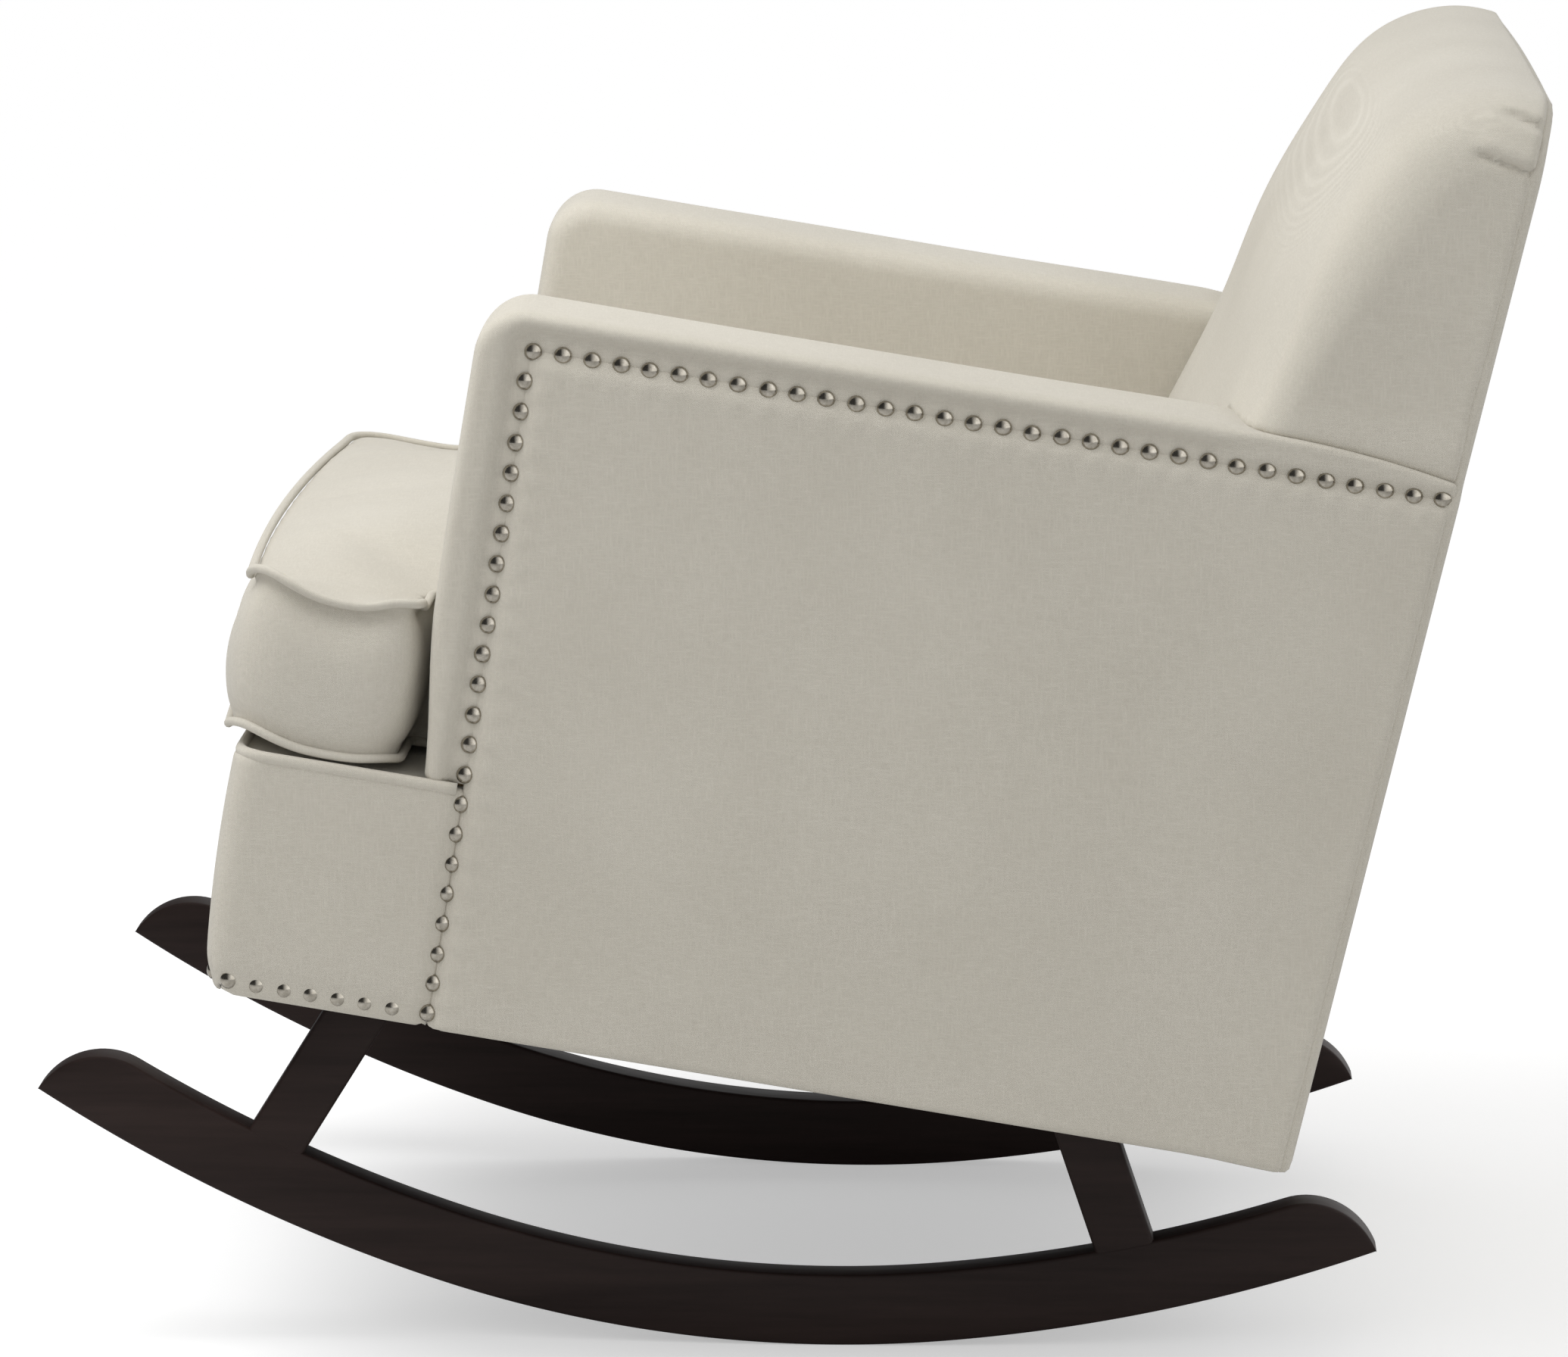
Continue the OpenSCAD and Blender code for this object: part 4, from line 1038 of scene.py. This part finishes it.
def settle(made):
    """Keeps the cushion off the arms, the deck and the back."""
    arm_give, deck_give, back_give = 6, 5, 5
    x, y, z = to_body([v.co for v in made.data.vertices]).T
    between = ease((y - EAR_BACK - 4) / 10)
    limit = INNER_X - 2.0 - arm_give
    over = np.maximum(np.abs(x) - limit, 0)
    held = limit + soft_stop(over, arm_give)
    x = np.where(over > 0, np.sign(x) * (np.abs(x) * (1 - between) + held * between), x)
    floor = RAIL_TOP + 0.5 + 3.5 * (1 - ease((y + 150) / 60)) * (np.abs(x) > 200)
    under = np.maximum(floor + deck_give - z, 0)
    z = np.where(under > 0, floor + deck_give - soft_stop(under, deck_give), z)
    wall = back_face(z) - 1.5 - back_give
    past = np.maximum(y - wall, 0)
    y = np.where(past > 0, wall + soft_stop(past, back_give), y)
    set_points(made, to_row(np.column_stack([x, y, z])))


cushion_points, cushion_faces, top_seam, low_seam, grooves = cushion_mesh()
cushion = piece("seat_cushion_cover", cushion_points, cushion_faces, LINEN, "cushion_cover", "seat_cushion")
pinned = np.concatenate([top_seam, low_seam, grooves])
inflate(cushion, pinned, pressure=4.0, cap=0.02, grow=0.015)
settle(cushion)
rounder = cushion.modifiers.new("Smooth", "SUBSURF")
rounder.levels = rounder.render_levels = 1
settled = to_body([v.co for v in cushion.data.vertices])

COVER_GAP = 0.009
core_normals = np.array([v.normal for v in cushion.data.vertices])
core_points = np.array([v.co for v in cushion.data.vertices]) - core_normals * COVER_GAP
foam = piece(
    "seat_cushion_foam", core_points, cushion_faces, FOAM, "cushion_core", "seat_cushion", in_row=True)


def piping(name, seam, node, out, rise):
    """A corded edge that follows a seam, a little out from it and a little above or below."""
    per_step = 3
    path = settled[seam] + outward(settled[seam]) * out + [0, 0, rise]
    n = len(path)
    t = np.arange(n * per_step) / per_step
    i = t.astype(int)
    ends = [path[(i + k) % n] for k in (-1, 0, 1, 2)]
    fine = spline(*ends, (t - i)[:, None])
    piece(name, *tube(fine, (PIPING_R, PIPING_R), 10, closed=True), LINEN, node, "seat_cushion")


piping("cushion_piping_top", top_seam, "piping_top", 1.0, 0.8)
piping("cushion_piping_bottom", low_seam, "piping_bottom", 0.8, -0.6)

# ---------------- cushion zip

wall_tree = BVHTree.FromPolygons([Vector(q) for q in settled], cushion_faces)
ZIP_LOW, ZIP_HIGH = node_box("zip_tape")
PULL_LOW, PULL_HIGH = node_box("zip_puller")
ZIP_MIDDLE, ZIP_HALF = (ZIP_LOW[2] + ZIP_HIGH[2]) / 2, (ZIP_HIGH[2] - ZIP_LOW[2]) / 2
PULL_X, PULL_HALF = (PULL_LOW[0] + PULL_HIGH[0]) / 2, 14
TAPE_PROFILE = [(-ZIP_HALF, -1.5), (-ZIP_HALF, 0.7), (-3.2, 1.0), (-2.6, 1.9),
                (2.6, 1.9), (3.2, 1.0), (ZIP_HALF, 0.7), (ZIP_HALF, -1.5)]
PULL_PROFILE = [(-4.5, 1.0), (-4.5, 3.2), (-2.5, 4.2), (2.5, 4.2), (4.5, 3.2), (4.5, 1.0)]


def on_rear_wall(x, z, out):
    """A point out from the cushion's rear face at this x and z."""
    hit, normal = wall_tree.ray_cast(Vector((x, BACK_HIGH[1], z)), Vector((0, -1, 0)))[:2]
    return np.array(hit + normal * out)


def rear_strip(name, low_x, high_x, profile, material, node):
    """A strip along the cushion's rear face, with its cross profile as (height, rise) pairs."""
    across = np.linspace(low_x, high_x, 90)
    rings = [[on_rear_wall(x, ZIP_MIDDLE + h, out) for h, out in profile] for x in across]
    points, faces = loft(rings)
    piece(name, points, [f[::-1] for f in faces], material, node, "seat_cushion")


rear_strip("zipper", ZIP_LOW[0], ZIP_HIGH[0], TAPE_PROFILE, LINEN, "zip_tape")
rear_strip("zipper_pull", PULL_X - PULL_HALF, PULL_X + PULL_HALF, PULL_PROFILE, PEWTER, "zip_puller")

# ---------------- floor, light and camera

FLOOR_TONE, FLOOR_GLOW = 0.77, 0.41
LIGHT_LEVEL, DARK_SIDE, BRIGHT_SIDE = 0.765, 0.05, 1.5
DARK_FROM, BRIGHT_FROM = -0.3, 0.6
CAMERA_PLACE, CAMERA_DOWN, CAMERA_ROUND = (5.012, 0.1994, 1.258), math.radians(9.81), math.radians(2.4)
WHITE = (1, 1, 1, 1)

scene = bpy.context.scene
scene.view_settings.view_transform = "Standard"


def make_floor():
    """A plain pale floor, which the camera sees a little brighter than the light makes it."""
    mesh = bpy.data.meshes.new("floor")
    mesh.from_pydata([(-40, -30, 0), (30, -30, 0), (30, 30, 0), (-40, 30, 0)], [], [(0, 1, 2, 3)])
    floor = bpy.data.objects.new("floor", mesh)
    scene.collection.objects.link(floor)
    look = Nodes("pale_floor")
    seen = look.add("LightPath").outputs["Is Camera Ray"]
    look.set(Base_Color=(FLOOR_TONE, FLOOR_TONE, FLOOR_TONE, 1), Roughness=1.0, Specular_IOR_Level=0.0)
    glow = look.add("Emission", Color=WHITE, Strength=look.math("MULTIPLY", seen, FLOOR_GLOW))
    both = look.add("AddShader")
    look.put(both.inputs[0], look.shader.outputs[0])
    look.put(both.inputs[1], glow.outputs[0])
    look.put(look.tree.nodes["Material Output"].inputs["Surface"], both.outputs[0])
    mesh.materials.append(look.material)


def make_sky():
    """An even studio light. Metal mirrors a dark room in front of the chair and a bright one behind it."""
    world = bpy.data.worlds.new("studio")
    scene.world = world
    world.use_nodes = True
    nodes, links = world.node_tree.nodes, world.node_tree.links
    background = nodes["Background"]
    background.inputs["Color"].default_value = WHITE
    facing = nodes.new("ShaderNodeSeparateXYZ")
    links.new(nodes.new("ShaderNodeTexCoord").outputs["Generated"], facing.inputs[0])
    side_glow = nodes.new("ShaderNodeMapRange")
    links.new(facing.outputs["Y"], side_glow.inputs["Value"])
    side_glow.inputs["From Min"].default_value = DARK_FROM
    side_glow.inputs["From Max"].default_value = BRIGHT_FROM
    side_glow.inputs["To Min"].default_value = DARK_SIDE
    side_glow.inputs["To Max"].default_value = BRIGHT_SIDE
    level = nodes.new("ShaderNodeMix")
    links.new(nodes.new("ShaderNodeLightPath").outputs["Is Glossy Ray"], level.inputs["Factor"])
    level.inputs["A"].default_value = LIGHT_LEVEL
    links.new(side_glow.outputs[0], level.inputs["B"])
    links.new(level.outputs[0], background.inputs["Strength"])


def softbox(name, place, aim, size, power):
    """A soft rectangular lamp that metal does not mirror."""
    data = bpy.data.lights.new(name, "AREA")
    data.shape = "RECTANGLE"
    data.size, data.size_y = size
    data.energy = power
    light = bpy.data.objects.new(name, data)
    scene.collection.objects.link(light)
    light.location = place
    light.visible_glossy = False
    light.rotation_euler = (Vector(aim) - Vector(place)).to_track_quat("-Z", "Y").to_euler()


def make_camera():
    """A long lens beside the chair, a little above it and a little behind its middle."""
    data = bpy.data.cameras.new("camera")
    data.sensor_width = 36.0
    data.lens = 174.47
    data.clip_start = 0.1
    data.clip_end = 200
    camera = bpy.data.objects.new("camera", data)
    scene.collection.objects.link(camera)
    camera.location = CAMERA_PLACE
    level = math.cos(CAMERA_DOWN)
    look = Vector((-level * math.cos(CAMERA_ROUND), -level * math.sin(CAMERA_ROUND), -math.sin(CAMERA_DOWN)))
    camera.rotation_euler = look.to_track_quat("-Z", "Y").to_euler()
    scene.camera = camera


make_floor()
make_sky()
softbox("overhead", (0.35, -0.65, 1.8), (0, 0.05, 0.45), (0.8, 1.3), 14.0)
make_camera()
